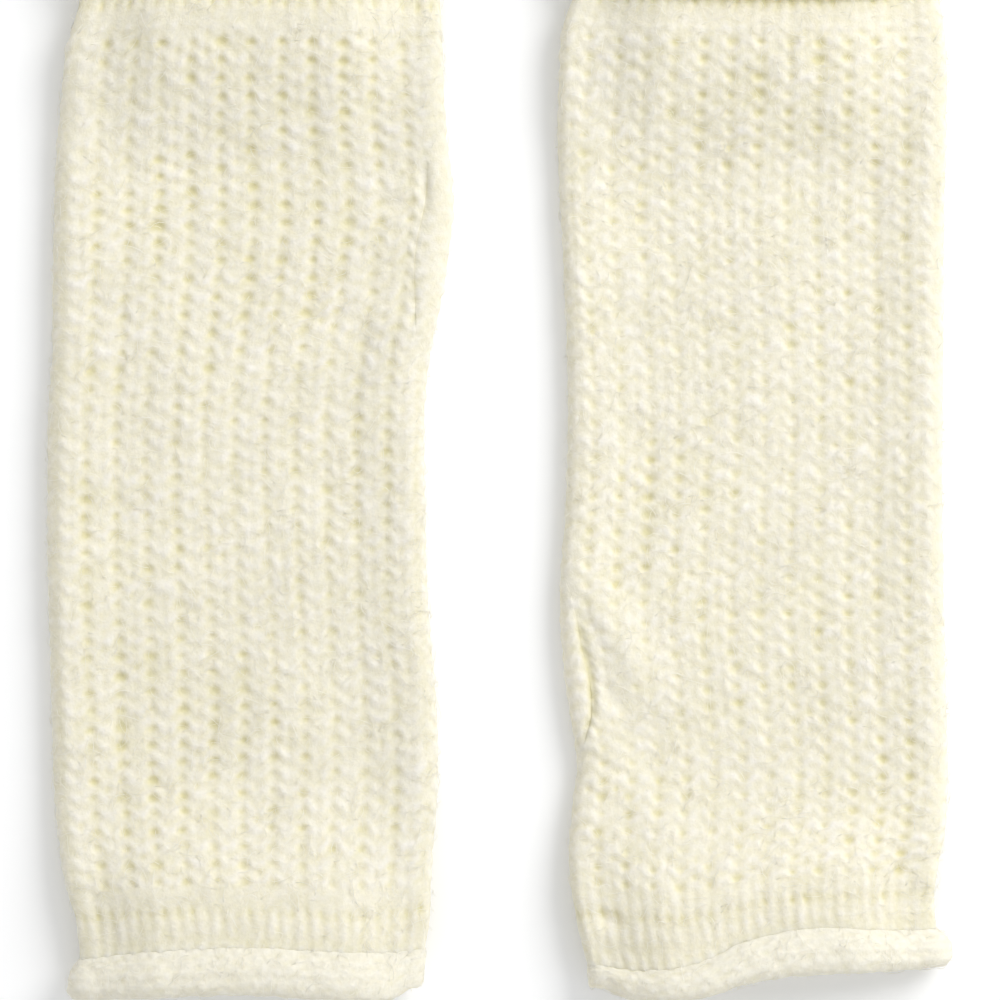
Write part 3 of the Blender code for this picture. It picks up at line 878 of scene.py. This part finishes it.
class Roll:
    """The face of the rolled edge round one mouth."""

    PATH = 41

    def __init__(self, skin, end):
        self.skin, self.end = skin, end
        self.past = 1.0 if end == "top" else -1.0
        self.v_end = skin.top if end == "top" else skin.bottom
        self.hem = HEMS[skin.side, end]
        seed = SEED + 61 + 2 * skin.index + (end == "top")
        self.tables = {}
        self.plump = field(seed, 5.0)
        self.twist = field(seed + 40, 7.0)
        self.tufts = field(seed + 50, 1.6)
        self.lint = field(seed + 60, 0.7)

    def merged(self, w):
        """1 where the roll's free edge merges with the panel."""
        x = self.skin.across(w)
        ends = ease((np.abs(x) - 34.0) / 9.0)
        if self.skin.side == "right" and self.past > 0:
            # this rolled edge stands up off the panel
            return 1.0 - 3.3 * (1.0 - ends) * ease((32.0 - np.abs(x - 4.0)) / 9.0)
        middle = 0.55 + 0.22 * self.twist(w * 0.7, 5.5)
        if self.skin.side == "right" and self.past < 0:
            middle = np.maximum(middle, 1.0 - ease((x + 4.0) / 16.0))
        return middle + (1.0 - middle) * ends

    def shape_at(self, w):
        """Flap and nose at stitch column w."""
        ends, _ = self.skin.at(w, self.v_end, -CLOTH)
        x = ends[..., 0]
        flap = table(self.hem, x, 2)
        left, right = float(SIDES[self.skin.side][0 if self.past > 0 else -1][1]), \
            float(SIDES[self.skin.side][0 if self.past > 0 else -1][2])
        to_side = np.minimum(x - left, right - x)
        # the ends are rounded off, most of all at the flat corner
        least, width = np.full(x.shape, NOSE_AT_SIDE), 6.5
        if self.past < 0:
            flat = x * self.skin.seam > 20.0
            least = np.where(flat, 0.12, least)
            width = np.where(flat, 11.5, width)
        s = np.clip((to_side - 0.3) / width, 0.0, 1.0)
        share = least + (1.0 - least) * np.sqrt(1.0 - (1.0 - s) ** 2)
        return flap, ROLL_NOSE * share

    def at(self, w, t, rise, inset=0.30):
        """Points and normals at stitch columns w, shares t along the curl."""
        w, t, rise = np.broadcast_arrays(np.asarray(w, float),
                                         np.asarray(t, float),
                                         np.asarray(rise, float))
        flap, nose = self.shape_at(w)
        flap = flap + 0.32 * self.plump(w, 3.3)
        nose = nose + 0.22 * self.plump(w, 9.1)
        # the path is read from a small table over flap and nose
        flaps = np.linspace(2.5, 10.5, 17)
        noses = np.linspace(0.6, 4.9, 16)
        for low in (0, 1):
            key = (round(inset, 3), low)
            if key in self.tables:
                continue
            paths = np.empty((len(flaps), len(noses), self.PATH, 2))
            outs = np.empty_like(paths)
            for i, f in enumerate(flaps):
                for k, n in enumerate(noses):
                    paths[i, k], outs[i, k], _ = curl_path(
                        f, n, inset, self.PATH, low)
            self.tables[key] = (paths, outs)
        low = self.merged(w)[..., None]
        high_paths, high_outs = self.tables[round(inset, 3), 0]
        low_paths, low_outs = self.tables[round(inset, 3), 1]
        a = np.clip((flap - flaps[0]) / (flaps[1] - flaps[0]), 0,
                    len(flaps) - 1.001)
        b = np.clip((nose - noses[0]) / (noses[1] - noses[0]), 0,
                    len(noses) - 1.001)
        c = np.clip(t, 0.0, 1.0) * (self.PATH - 1.001)
        a0, b0, c0 = (np.floor(q).astype(int) for q in (a, b, c))
        ta, tb, tc = ((q - q0)[..., None] for q, q0 in
                      ((a, a0), (b, b0), (c, c0)))

        def read(grid):
            total = 0.0
            for i, wa in ((0, 1 - ta), (1, ta)):
                for k, wb in ((0, 1 - tb), (1, tb)):
                    for l, wc in ((0, 1 - tc), (1, tc)):
                        total = total + grid[a0 + i, b0 + k, c0 + l] \
                            * (wa * wb * wc)
            return total

        path = read(high_paths) * (1 - low) + read(low_paths) * low
        out2 = read(high_outs) * (1 - low) + read(low_outs) * low
        out2 = out2 / np.maximum(np.linalg.norm(out2, axis=-1), 1e-9)[..., None]
        ridges = 0.05 * np.sin(2 * math.pi * (w / 1.7 + t * 0.9)
                               + 2.2 * self.twist(w, t * 4.0)) \
            + 0.13 * self.twist(w * 2.1, t * 5.0)
        rise = rise + ridges * ease(t * 3.0) * (inset < 2.0)
        height = path[..., 0] + out2[..., 0] * rise
        if self.past < 0:
            # at one corner of each warmer the edge hardly rolls at all
            out_to = self.skin.across(w) * self.skin.seam
            corner = 0.78 * ease((out_to - 33.0) / 11.0)
            height = np.where(height > CLOTH, CLOTH + (height - CLOTH)
                              * (1.0 - corner), height)
        beyond = path[..., 1] + out2[..., 1] * rise
        v = self.v_end + self.past * np.minimum(beyond, 0.0)
        point, out = self.skin.at(w, v, height - CLOTH)
        point[..., 1] += self.past * np.maximum(beyond, 0.0)
        if self.skin.side == "left" and self.past < 0:
            # this corner of the rolled edge is rounded off
            point[..., 0] -= 0.9 * ease((-117.5 - point[..., 1]) / 7.0) \
                * ease((point[..., 0] - 30.0) / 12.0)
        normal = out * out2[..., :1]
        normal[..., 1] += self.past * out2[..., 1]
        normal /= np.maximum(np.linalg.norm(normal, axis=-1), 1e-9)[..., None]
        return point, normal

    def face(self, w, t):
        """Height of the purl side: short soft arcs in rows round the mouth."""
        rows = 7.0
        wobble = 0.35 * self.twist(w * 1.3, t * 5.0)
        y = t * rows + 0.20 * self.plump(w * 2.0, t * 8.0)
        total = 0.0
        near = np.round(y - 0.5)
        for d in (-1, 0, 1):
            row = near + d
            phase = 2.0 * math.pi * (w + 0.27 * row) + wobble * 2.0
            middle = row + 0.5 + 0.20 * np.sin(phase)
            away = (y - middle) * 2.35
            top = 0.16 - 0.20 * np.cos(2.0 * phase + 0.5)
            total = total + np.exp(SHARP * (top - 0.46 * (away / 0.95) ** 2))
        h = np.log(total / 1.6 + math.exp(SHARP * -0.36)) / SHARP
        x = w * WALE
        return 0.55 * h + 0.10 * self.tufts(x, t * 18.0) \
            + 0.05 * self.lint(x, t * 18.0)

    def sheet(self, name, shift):
        """The rolled sheet: its face in relief, and its plain inside."""
        stations, path = 324, 58
        w = np.arange(stations) * 2.0 * TURN / stations
        t = np.linspace(0.0, 1.0, path)
        relief = self.face(w[:, None], t[None]) * ease(t[None] * 6.0) \
            * (1.0 - ease((t[None] - 0.93) / 0.07))
        face, _ = self.at(w[:, None], t[None], relief)
        every = 6
        w_in = w[::every]
        back = np.linspace(0.88, 0.0, 12)
        inside, _ = self.at(w_in[:, None], back[None], 0.0, 2.25)
        face[..., 2] = np.maximum(face[..., 2], 0.03)
        inside[..., 2] = np.maximum(inside[..., 2], 0.5)
        verts = np.concatenate([face.reshape(-1, 3), inside.reshape(-1, 3)])
        n_in = len(w_in)
        f = np.arange(stations)[:, None] * path + np.arange(path)[None]
        g = np.roll(f, -1, axis=0)
        quads = np.stack([f[:, :-1], g[:, :-1], g[:, 1:], f[:, 1:]],
                         axis=-1).reshape(-1, 4)
        m = stations * path + np.arange(n_in)[:, None] * 12 \
            + np.arange(12)[None]
        k = np.roll(m, -1, axis=0)
        quads2 = np.stack([m[:, :-1], k[:, :-1], k[:, 1:], m[:, 1:]],
                          axis=-1).reshape(-1, 4)
        # join the free edge and the hidden edge of the two faces
        joins = []
        for i in range(n_in):
            for q in range(every):
                a0 = i * every + q
                a1 = (a0 + 1) % stations
                near_in = i if q < every // 2 else (i + 1) % n_in
                joins.append((f[a0, -1], f[a1, -1], m[near_in, 0]))
                joins.append((m[near_in, -1], f[a1, 0], f[a0, 0]))
                if q == every // 2:
                    j = (i + 1) % n_in
                    joins.append((f[a0, -1], m[j, 0], m[i, 0]))
                    joins.append((m[i, -1], m[j, -1], f[a0, 0]))
        joins = np.array(joins)
        if self.past < 0:
            quads, quads2, joins = quads[:, ::-1], quads2[:, ::-1], \
                joins[:, ::-1]
        # painted shade: the colour follows the relief's depth, darker in its
        # hollows, and the plain inside gets the colour of a recess
        depth = np.concatenate([relief.ravel(),
                                np.full(inside.shape[0] * 12, -0.7)])
        around = np.broadcast_to(w[:, None] * WALE, relief.shape)
        along = np.broadcast_to(t[None] * 18.0, relief.shape)
        fibre = np.concatenate([
            np.stack([around, along, relief], axis=-1).reshape(-1, 3),
            inside.reshape(-1, 3)])
        return make_object(name, verts + np.array(shift),
                           [quads, quads2, joins],
                           {"fibre": fibre, "depth": depth,
                            "soft": np.concatenate([
                                np.broadcast_to(
                                    SOFT * (1.0 - ease((t[None] - 0.66) / 0.24)),
                                    relief.shape).ravel(),
                                np.full(inside.shape[0] * 12, 0.2)]),
                            "strand": np.full(len(depth), 0.6)})


# -------------------------------------------------------- the knitted panel
def zipper(a, at_a, b, at_b):
    """Triangles between two edges with different numbers of points."""
    faces = []
    i = j = 0
    while i < len(a) - 1 or j < len(b) - 1:
        if j == len(b) - 1 or (i < len(a) - 1 and at_a[i + 1] <= at_b[j + 1]):
            faces.append((a[i], a[i + 1], b[j]))
            i += 1
        else:
            faces.append((a[i], b[j + 1], b[j]))
            j += 1
    return faces


def tidy(obj, angle=80.0):
    """Face normals outward, and hard edges only at the cloth's rims."""
    bm = bmesh.new()
    bm.from_mesh(obj.data)
    bmesh.ops.recalc_face_normals(bm, faces=bm.faces)
    bm.to_mesh(obj.data)
    bm.free()
    obj.data.shade_smooth()
    obj.data.set_sharp_from_angle(angle=math.radians(angle))


def knit_piece(skin, layout, relief, half, name, shift, per_column, per_row):
    """One half of the knitted tube, from its far side fold to the seam and
    slit: its face in relief, and a plain inside."""
    front = half == "front"
    n_rows = int(round((layout.last - layout.first) * per_row)) + 1
    rows = np.linspace(layout.first, layout.last, n_rows)
    plain_v = layout.high - rows * layout.step
    line, opened = skin.seam_at(plain_v)
    main = int(round(TURN * per_column))
    if front:
        # q: columns in from the seam's side fold, from the seam to the far fold
        q = np.linspace(0.0, TURN, main + 1)
        start = line[:, None]
        q = np.where(q[None] < 2.0, start + q[None] * (2.0 - start) / 2.0,
                     q[None])
    else:
        strip = 16
        edge = line + 0.06 * opened
        up = np.linspace(1.0, 0.0, strip + 1)[None, :-1] * edge[:, None]
        q = np.concatenate(
            [up, np.broadcast_to(-np.linspace(0.0, TURN, main + 1)[None],
                                 (n_rows, main + 1))], axis=1)
    w = TURN - q if skin.seam > 0 else q
    w = np.where((skin.seam < 0) & (w < 0), w + 2.0 * TURN, w)
    if not front and skin.seam < 0:
        w = np.where(q >= 0, q + 2.0 * TURN, w)
    j = np.broadcast_to(rows[:, None], w.shape)
    h = relief.height(w, j)
    if not front:
        h = h - 0.45 * skin.under(w) * (q < 0)
        # the lower lip runs a little way under the upper one
        h = h - 0.15 * opened[:, None] * (q > line[:, None] - 0.03)
    sway = layout.sideways(j, w) * ease(np.abs(q) / 1.5) \
        * ease((TURN - np.abs(q)) / 1.5)
    v = layout.row(j, w)
    face, _ = skin.at(w + sway, v, h, lower=not front)
    face[..., 2] = np.maximum(face[..., 2], 0.03)

    cols_in = np.unique(np.concatenate([np.arange(0, w.shape[1], 5),
                                        [w.shape[1] - 1]]))
    rows_in = np.unique(np.concatenate([np.arange(0, n_rows, 8),
                                        [n_rows - 1]]))
    pick = np.ix_(rows_in, cols_in)
    inner, _ = skin.at((w + sway)[pick], v[pick], SHELL_IN, lower=not front)
    inner[..., 2] = np.maximum(inner[..., 2], 0.4)
    nr, nc = w.shape
    f = np.arange(nr)[:, None] * nc + np.arange(nc)[None]
    mr, mc = inner.shape[:2]
    m = nr * nc + np.arange(mr)[:, None] * mc + np.arange(mc)[None]
    quads = [np.stack([g[:-1, :-1], g[1:, :-1], g[1:, 1:], g[:-1, 1:]],
                      axis=-1).reshape(-1, 4) for g in (f, m)]
    quads[1] = quads[1][:, ::-1]
    rims = zipper(f[:, 0], np.arange(nr), m[:, 0], rows_in)
    rims += [t[::-1] for t in zipper(f[:, -1], np.arange(nr), m[:, -1],
                                     rows_in)]
    rims += [t[::-1] for t in zipper(f[0], np.arange(nc), m[0], cols_in)]
    rims += zipper(f[-1], np.arange(nc), m[-1], cols_in)
    fibre = np.stack([skin.across(w), j * COURSE, h], axis=-1)
    past, dip = skin.crease(q, v, not front)
    soft = SOFT * np.where(q < -0.3, 1.0, ease(past / 2.6))
    # painted shade: the crease between the slit's lips is coloured darker by its
    # dip, and the plain inside (depth -0.6) gets the colour of a recess
    shade_depth = h - dip * (q >= 0)
    verts = np.concatenate([face.reshape(-1, 3), inner.reshape(-1, 3)])
    obj = make_object(name, verts + np.array(shift),
                      [quads[0], quads[1], np.array(rims)], {
        "fibre": np.concatenate([fibre.reshape(-1, 3), inner.reshape(-1, 3)]),
        "depth": np.concatenate([shade_depth.ravel(), np.full(mr * mc, -0.6)]),
        "soft": np.concatenate([soft.ravel(), np.full(mr * mc, 0.2)]),
        "strand": np.full(nr * nc + mr * mc, 0.6)})
    tidy(obj)
    width = float(np.median(np.abs(w[:, -1] - w[:, 0]))) * WALE
    return obj, width


# -------------------------------------------------------------- loose fibres
def fuzz(yarn, skin, layout, rolls, count):
    """Fine loose fibres, on the open knit, the bands and the rolls."""
    rng = yarn.rng
    k = 5
    t = np.linspace(0.0, 1.0, k)
    m = int(count * 0.80)
    w = rng.uniform(-0.9, TURN + 0.9, m)
    v = rng.uniform(skin.bottom + 9.0, skin.top - 9.0, m)
    q = skin.inward(w)
    line, opened = skin.seam_at(v)
    clear = ~((np.abs(q - line) < 0.7) & (v < skin.warmer.slit_top + 20)
              & (v > skin.warmer.slit_bottom - 20)) & ~((q < line)
                                                       & (q > -0.1)
                                                       & (opened > 0))
    w, v = w[clear], v[clear]
    m = len(w)
    angle = rng.uniform(0.0, 2.0 * math.pi, m)
    length = rng.uniform(2.2, 6.5, m)
    curve = rng.normal(0.0, 1.5, m)
    heading = angle[:, None] + curve[:, None] * t[None]
    step = length[:, None] / (k - 1)
    dx = np.cumsum(np.cos(heading) * step, axis=1)
    dv = np.cumsum(np.sin(heading) * step, axis=1)
    top = rng.uniform(0.35, 0.95, m)
    h = -0.3 + (top[:, None] + 0.3) * np.sin(math.pi * (0.12 + 0.76 * t[None])) \
        + rng.normal(0.0, 0.06, (m, k))
    free = rng.random(m) < 0.30
    h = np.where(free[:, None], -0.2 + (top[:, None] + 0.6) * t[None], h)
    centre, out = skin.at(w[:, None] + dx / WALE, v[:, None] + dv, h)
    thick = rng.uniform(0.035, 0.07, (m, 1)) * (1.0 - 0.55 * t[None] ** 2)
    yarn.add(centre, out, thick, thick, 0.35 * np.ones((m, k)), 3, 0.02)
    for roll in rolls:
        m = int(count * 0.05)
        w = rng.uniform(-0.8, TURN + 0.8, m)
        t0 = rng.uniform(0.25, 0.97, m)
        angle = rng.uniform(0.0, 2.0 * math.pi, m)
        length = rng.uniform(2.2, 5.5, m)
        heading = angle[:, None] + rng.normal(0.0, 1.4, (m, 1)) * t[None]
        step = length[:, None] / (k - 1)
        dx = np.cumsum(np.cos(heading) * step, axis=1)
        dt = np.cumsum(np.sin(heading) * step, axis=1)
        h = -0.1 + rng.uniform(0.45, 1.0, (m, 1)) * np.sin(
            math.pi * (0.1 + 0.8 * t[None]))
        centre, out = roll.at(w[:, None] + dx / WALE,
                              np.clip(t0[:, None] + dt / 18.0, 0.0, 1.0), h)
        thick = rng.uniform(0.035, 0.07, (m, 1)) * (1.0 - 0.55 * t[None] ** 2)
        yarn.add(centre, out, thick, thick, 0.35 * np.ones((m, k)), 3, 0.02)


# ------------------------------------------------------------------ materials
def knit_material(name, deep, middle, light, fluff, spread=True):
    """Brushed wool, heathered, with fine fibres: its colour darkens and turns olive
    with depth in the knit, which is painted shade in the holes and hollows.
    """
    material = bpy.data.materials.new(name)
    material.use_nodes = True
    tree = material.node_tree
    nodes, links = tree.nodes, tree.links
    shader = nodes["Principled BSDF"]
    shader.inputs["Roughness"].default_value = 0.92
    shader.inputs["Specular IOR Level"].default_value = 0.18
    shader.subsurface_method = "BURLEY"
    shader.inputs["Subsurface Radius"].default_value = (1.0, 0.85, 0.55)
    shader.inputs["Subsurface Scale"].default_value = 0.0030
    shader.inputs["Sheen Weight"].default_value = 0.12
    shader.inputs["Sheen Roughness"].default_value = 0.45
    shader.inputs["Sheen Tint"].default_value = (1.0, 0.97, 0.90, 1.0)

    def add(kind, **values):
        node = nodes.new(kind)
        for key, value in values.items():
            setattr(node, key, value)
        return node

    place = add("ShaderNodeTexCoord")
    metres = add("ShaderNodeMapping")
    metres.inputs["Scale"].default_value = (1000.0, 1000.0, 1000.0)
    links.new(place.outputs["Object"], metres.inputs["Vector"])

    if spread:
        # less light is spread at the rims of the cloth
        soft = add("ShaderNodeAttribute", attribute_name="soft")
        links.new(soft.outputs["Fac"], shader.inputs["Subsurface Weight"])

    fibre = add("ShaderNodeAttribute", attribute_name="fibre")
    combed = add("ShaderNodeMapping")
    combed.inputs["Scale"].default_value = (1.9, 1.5, 1.9)
    links.new(fibre.outputs["Vector"], combed.inputs["Vector"])
    strands = add("ShaderNodeTexNoise")
    strands.inputs["Scale"].default_value = 1.0
    strands.inputs["Detail"].default_value = 3.0
    strands.inputs["Roughness"].default_value = 0.6
    links.new(combed.outputs["Vector"], strands.inputs["Vector"])

    lint = add("ShaderNodeTexNoise")
    lint.inputs["Scale"].default_value = 1.05
    lint.inputs["Detail"].default_value = 4.0
    lint.inputs["Roughness"].default_value = 0.62
    links.new(metres.outputs["Vector"], lint.inputs["Vector"])

    patches = add("ShaderNodeTexNoise")
    patches.inputs["Scale"].default_value = 0.055
    patches.inputs["Detail"].default_value = 2.0
    links.new(metres.outputs["Vector"], patches.inputs["Vector"])

    # painted shade: the lower a point lies in the knit's relief, the darker and
    # more olive its colour
    depth = add("ShaderNodeAttribute", attribute_name="depth")
    depth_shade = add("ShaderNodeMapRange")
    depth_shade.inputs["From Min"].default_value = -1.1
    depth_shade.inputs["From Max"].default_value = 0.55
    links.new(depth.outputs["Fac"], depth_shade.inputs["Value"])
    ramp = add("ShaderNodeValToRGB")
    ramp.color_ramp.elements[0].position = 0.12
    ramp.color_ramp.elements[0].color = deep
    ramp.color_ramp.elements[1].position = 0.95
    ramp.color_ramp.elements[1].color = light
    third = ramp.color_ramp.elements.new(0.56)
    third.color = middle
    mottle = add("ShaderNodeTexNoise")
    mottle.inputs["Scale"].default_value = 0.52
    mottle.inputs["Detail"].default_value = 1.5
    links.new(metres.outputs["Vector"], mottle.inputs["Vector"])
    tint = add("ShaderNodeMapRange")
    tint.inputs["From Min"].default_value = 0.3
    tint.inputs["From Max"].default_value = 0.7
    tint.inputs["To Min"].default_value = -0.10
    tint.inputs["To Max"].default_value = 0.10
    links.new(mottle.outputs["Fac"], tint.inputs["Value"])
    mixed = add("ShaderNodeMath", operation="ADD")
    links.new(depth_shade.outputs["Result"], mixed.inputs[0])
    links.new(tint.outputs["Result"], mixed.inputs[1])
    links.new(mixed.outputs["Value"], ramp.inputs["Fac"])

    strand = add("ShaderNodeAttribute", attribute_name="strand")
    tone = add("ShaderNodeMapRange")
    tone.inputs["To Min"].default_value = 0.965
    tone.inputs["To Max"].default_value = 1.02
    links.new(strand.outputs["Fac"], tone.inputs["Value"])
    drift = add("ShaderNodeMapRange")
    drift.inputs["From Min"].default_value = 0.3
    drift.inputs["From Max"].default_value = 0.7
    drift.inputs["To Min"].default_value = 0.975
    drift.inputs["To Max"].default_value = 1.015
    links.new(patches.outputs["Fac"], drift.inputs["Value"])
    flecks = add("ShaderNodeMapRange")
    flecks.inputs["From Min"].default_value = 0.35
    flecks.inputs["From Max"].default_value = 0.70
    flecks.inputs["To Min"].default_value = 0.955
    flecks.inputs["To Max"].default_value = 1.03
    links.new(lint.outputs["Fac"], flecks.inputs["Value"])
    product = add("ShaderNodeMath", operation="MULTIPLY")
    links.new(tone.outputs["Result"], product.inputs[0])
    links.new(drift.outputs["Result"], product.inputs[1])
    both = add("ShaderNodeMath", operation="MULTIPLY")
    links.new(product.outputs["Value"], both.inputs[0])
    links.new(flecks.outputs["Result"], both.inputs[1])
    shade = add("ShaderNodeVectorMath", operation="SCALE")
    links.new(ramp.outputs["Color"], shade.inputs[0])
    links.new(both.outputs["Value"], shade.inputs["Scale"])
    links.new(shade.outputs["Vector"], shader.inputs["Base Color"])

    height = add("ShaderNodeMath", operation="ADD")
    links.new(strands.outputs["Fac"], height.inputs[0])
    links.new(lint.outputs["Fac"], height.inputs[1])
    bump = add("ShaderNodeBump")
    bump.inputs["Strength"].default_value = fluff
    bump.inputs["Distance"].default_value = 0.00045
    links.new(height.outputs["Value"], bump.inputs["Height"])
    links.new(bump.outputs["Normal"], shader.inputs["Normal"])
    return material


def floor_material():
    material = bpy.data.materials.new("white_paper")
    material.use_nodes = True
    shader = material.node_tree.nodes["Principled BSDF"]
    shader.inputs["Base Color"].default_value = (0.97, 0.97, 0.97, 1.0)
    shader.inputs["Roughness"].default_value = 0.9
    shader.inputs["Specular IOR Level"].default_value = 0.1
    shader.inputs["Emission Color"].default_value = (1.0, 1.0, 1.0, 1.0)
    shader.inputs["Emission Strength"].default_value = 0.07
    return material


# The first colour of each material is the painted shade at the bottom of holes and
# hollows.
KNIT = knit_material("knit_panel", (0.75, 0.70, 0.44, 1.0),
                     (0.86, 0.815, 0.645, 1.0), (0.915, 0.88, 0.79, 1.0), 0.34)
KNIT_ROLL = knit_material("knit_rolled_edge", (0.77, 0.73, 0.50, 1.0),
                          (0.865, 0.825, 0.685, 1.0), (0.895, 0.865, 0.77, 1.0),
                          0.34)
FLUFF = knit_material("loose_fibres", (0.88, 0.84, 0.71, 1.0),
                      (0.90, 0.87, 0.76, 1.0), (0.92, 0.90, 0.82, 1.0), 0.10,
                      False)


def set_piece(obj, material):
    obj.data.materials.append(material)
    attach(obj, "root")
    return obj


# ---------------------------------------------------------------- the warmers
def build(side, index):
    sign = -1.0 if side == "left" else 1.0
    shift = (sign * HALF_PITCH + CENTRE_SHIFT[0], CENTRE_SHIFT[1], 0.0)
    skin = Skin(side, index)
    layout = Layout(skin)
    relief = Relief(skin, layout)

    front, front_width = knit_piece(skin, layout, relief, "front",
                                    side + "_front_knit", shift, 12, 8)
    back, back_width = knit_piece(skin, layout, relief, "back",
                                  side + "_back_knit", shift, 6, 8)
    for obj, node in ((front, side + "_front"), (back, side + "_back")):
        set_piece(obj, KNIT)
        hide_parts(node)

    rolls = [Roll(skin, "top"), Roll(skin, "bottom")]
    for roll in rolls:
        node = side + "_roll_" + roll.end
        obj = roll.sheet(node + "_knit", shift)
        tidy(obj)
        set_piece(obj, KNIT_ROLL)
        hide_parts(node)

    yarn = Yarn(SEED + 160 + index)
    fuzz(yarn, skin, layout, rolls, 3500)
    loose = set_piece(yarn.build(side + "_loose_fibres", shift), FLUFF)


# ------------------------------------------------------------ floor and light
def ground():
    mesh = bpy.data.meshes.new("floor")
    mesh.from_pydata([(-3, -3, 0), (3, -3, 0), (3, 3, 0), (-3, 3, 0)], [],
                     [(0, 1, 2, 3)])
    floor = bpy.data.objects.new("floor", mesh)
    bpy.context.scene.collection.objects.link(floor)
    mesh.materials.append(floor_material())
    return floor


def light():
    world = bpy.data.worlds.new("studio")
    bpy.context.scene.world = world
    world.use_nodes = True
    background = world.node_tree.nodes["Background"]
    background.inputs["Color"].default_value = (0.978, 0.988, 1.0, 1.0)
    background.inputs["Strength"].default_value = 0.685

    data = bpy.data.lights.new("key", "AREA")
    data.shape = "DISK"
    data.size = 1.1
    data.energy = 17.0
    data.color = (1.0, 0.995, 0.985)
    key = bpy.data.objects.new("key", data)
    bpy.context.scene.collection.objects.link(key)
    key.location = (1.02, 0.76, 1.02)
    aim = Vector((0.0, 0.0, 0.0)) - key.location
    key.rotation_euler = aim.to_track_quat("-Z", "Y").to_euler()


def camera():
    data = bpy.data.cameras.new("camera")
    data.type = "PERSP"
    data.sensor_width = 36.0
    data.lens = 36.0 * (1.6 - 0.006) / 0.2338
    data.clip_start, data.clip_end = 0.05, 20.0
    eye = bpy.data.objects.new("camera", data)
    bpy.context.scene.collection.objects.link(eye)
    eye.location = (-0.00004, -0.0069, 1.6)
    eye.rotation_euler = (0.0, 0.0, 0.0)
    bpy.context.scene.camera = eye


floor = ground()
for number, warmer_side in enumerate(("left", "right")):
    build(warmer_side, number)
light()
camera()
bpy.context.scene.view_settings.view_transform = "Standard"

bpy.context.view_layer.update()
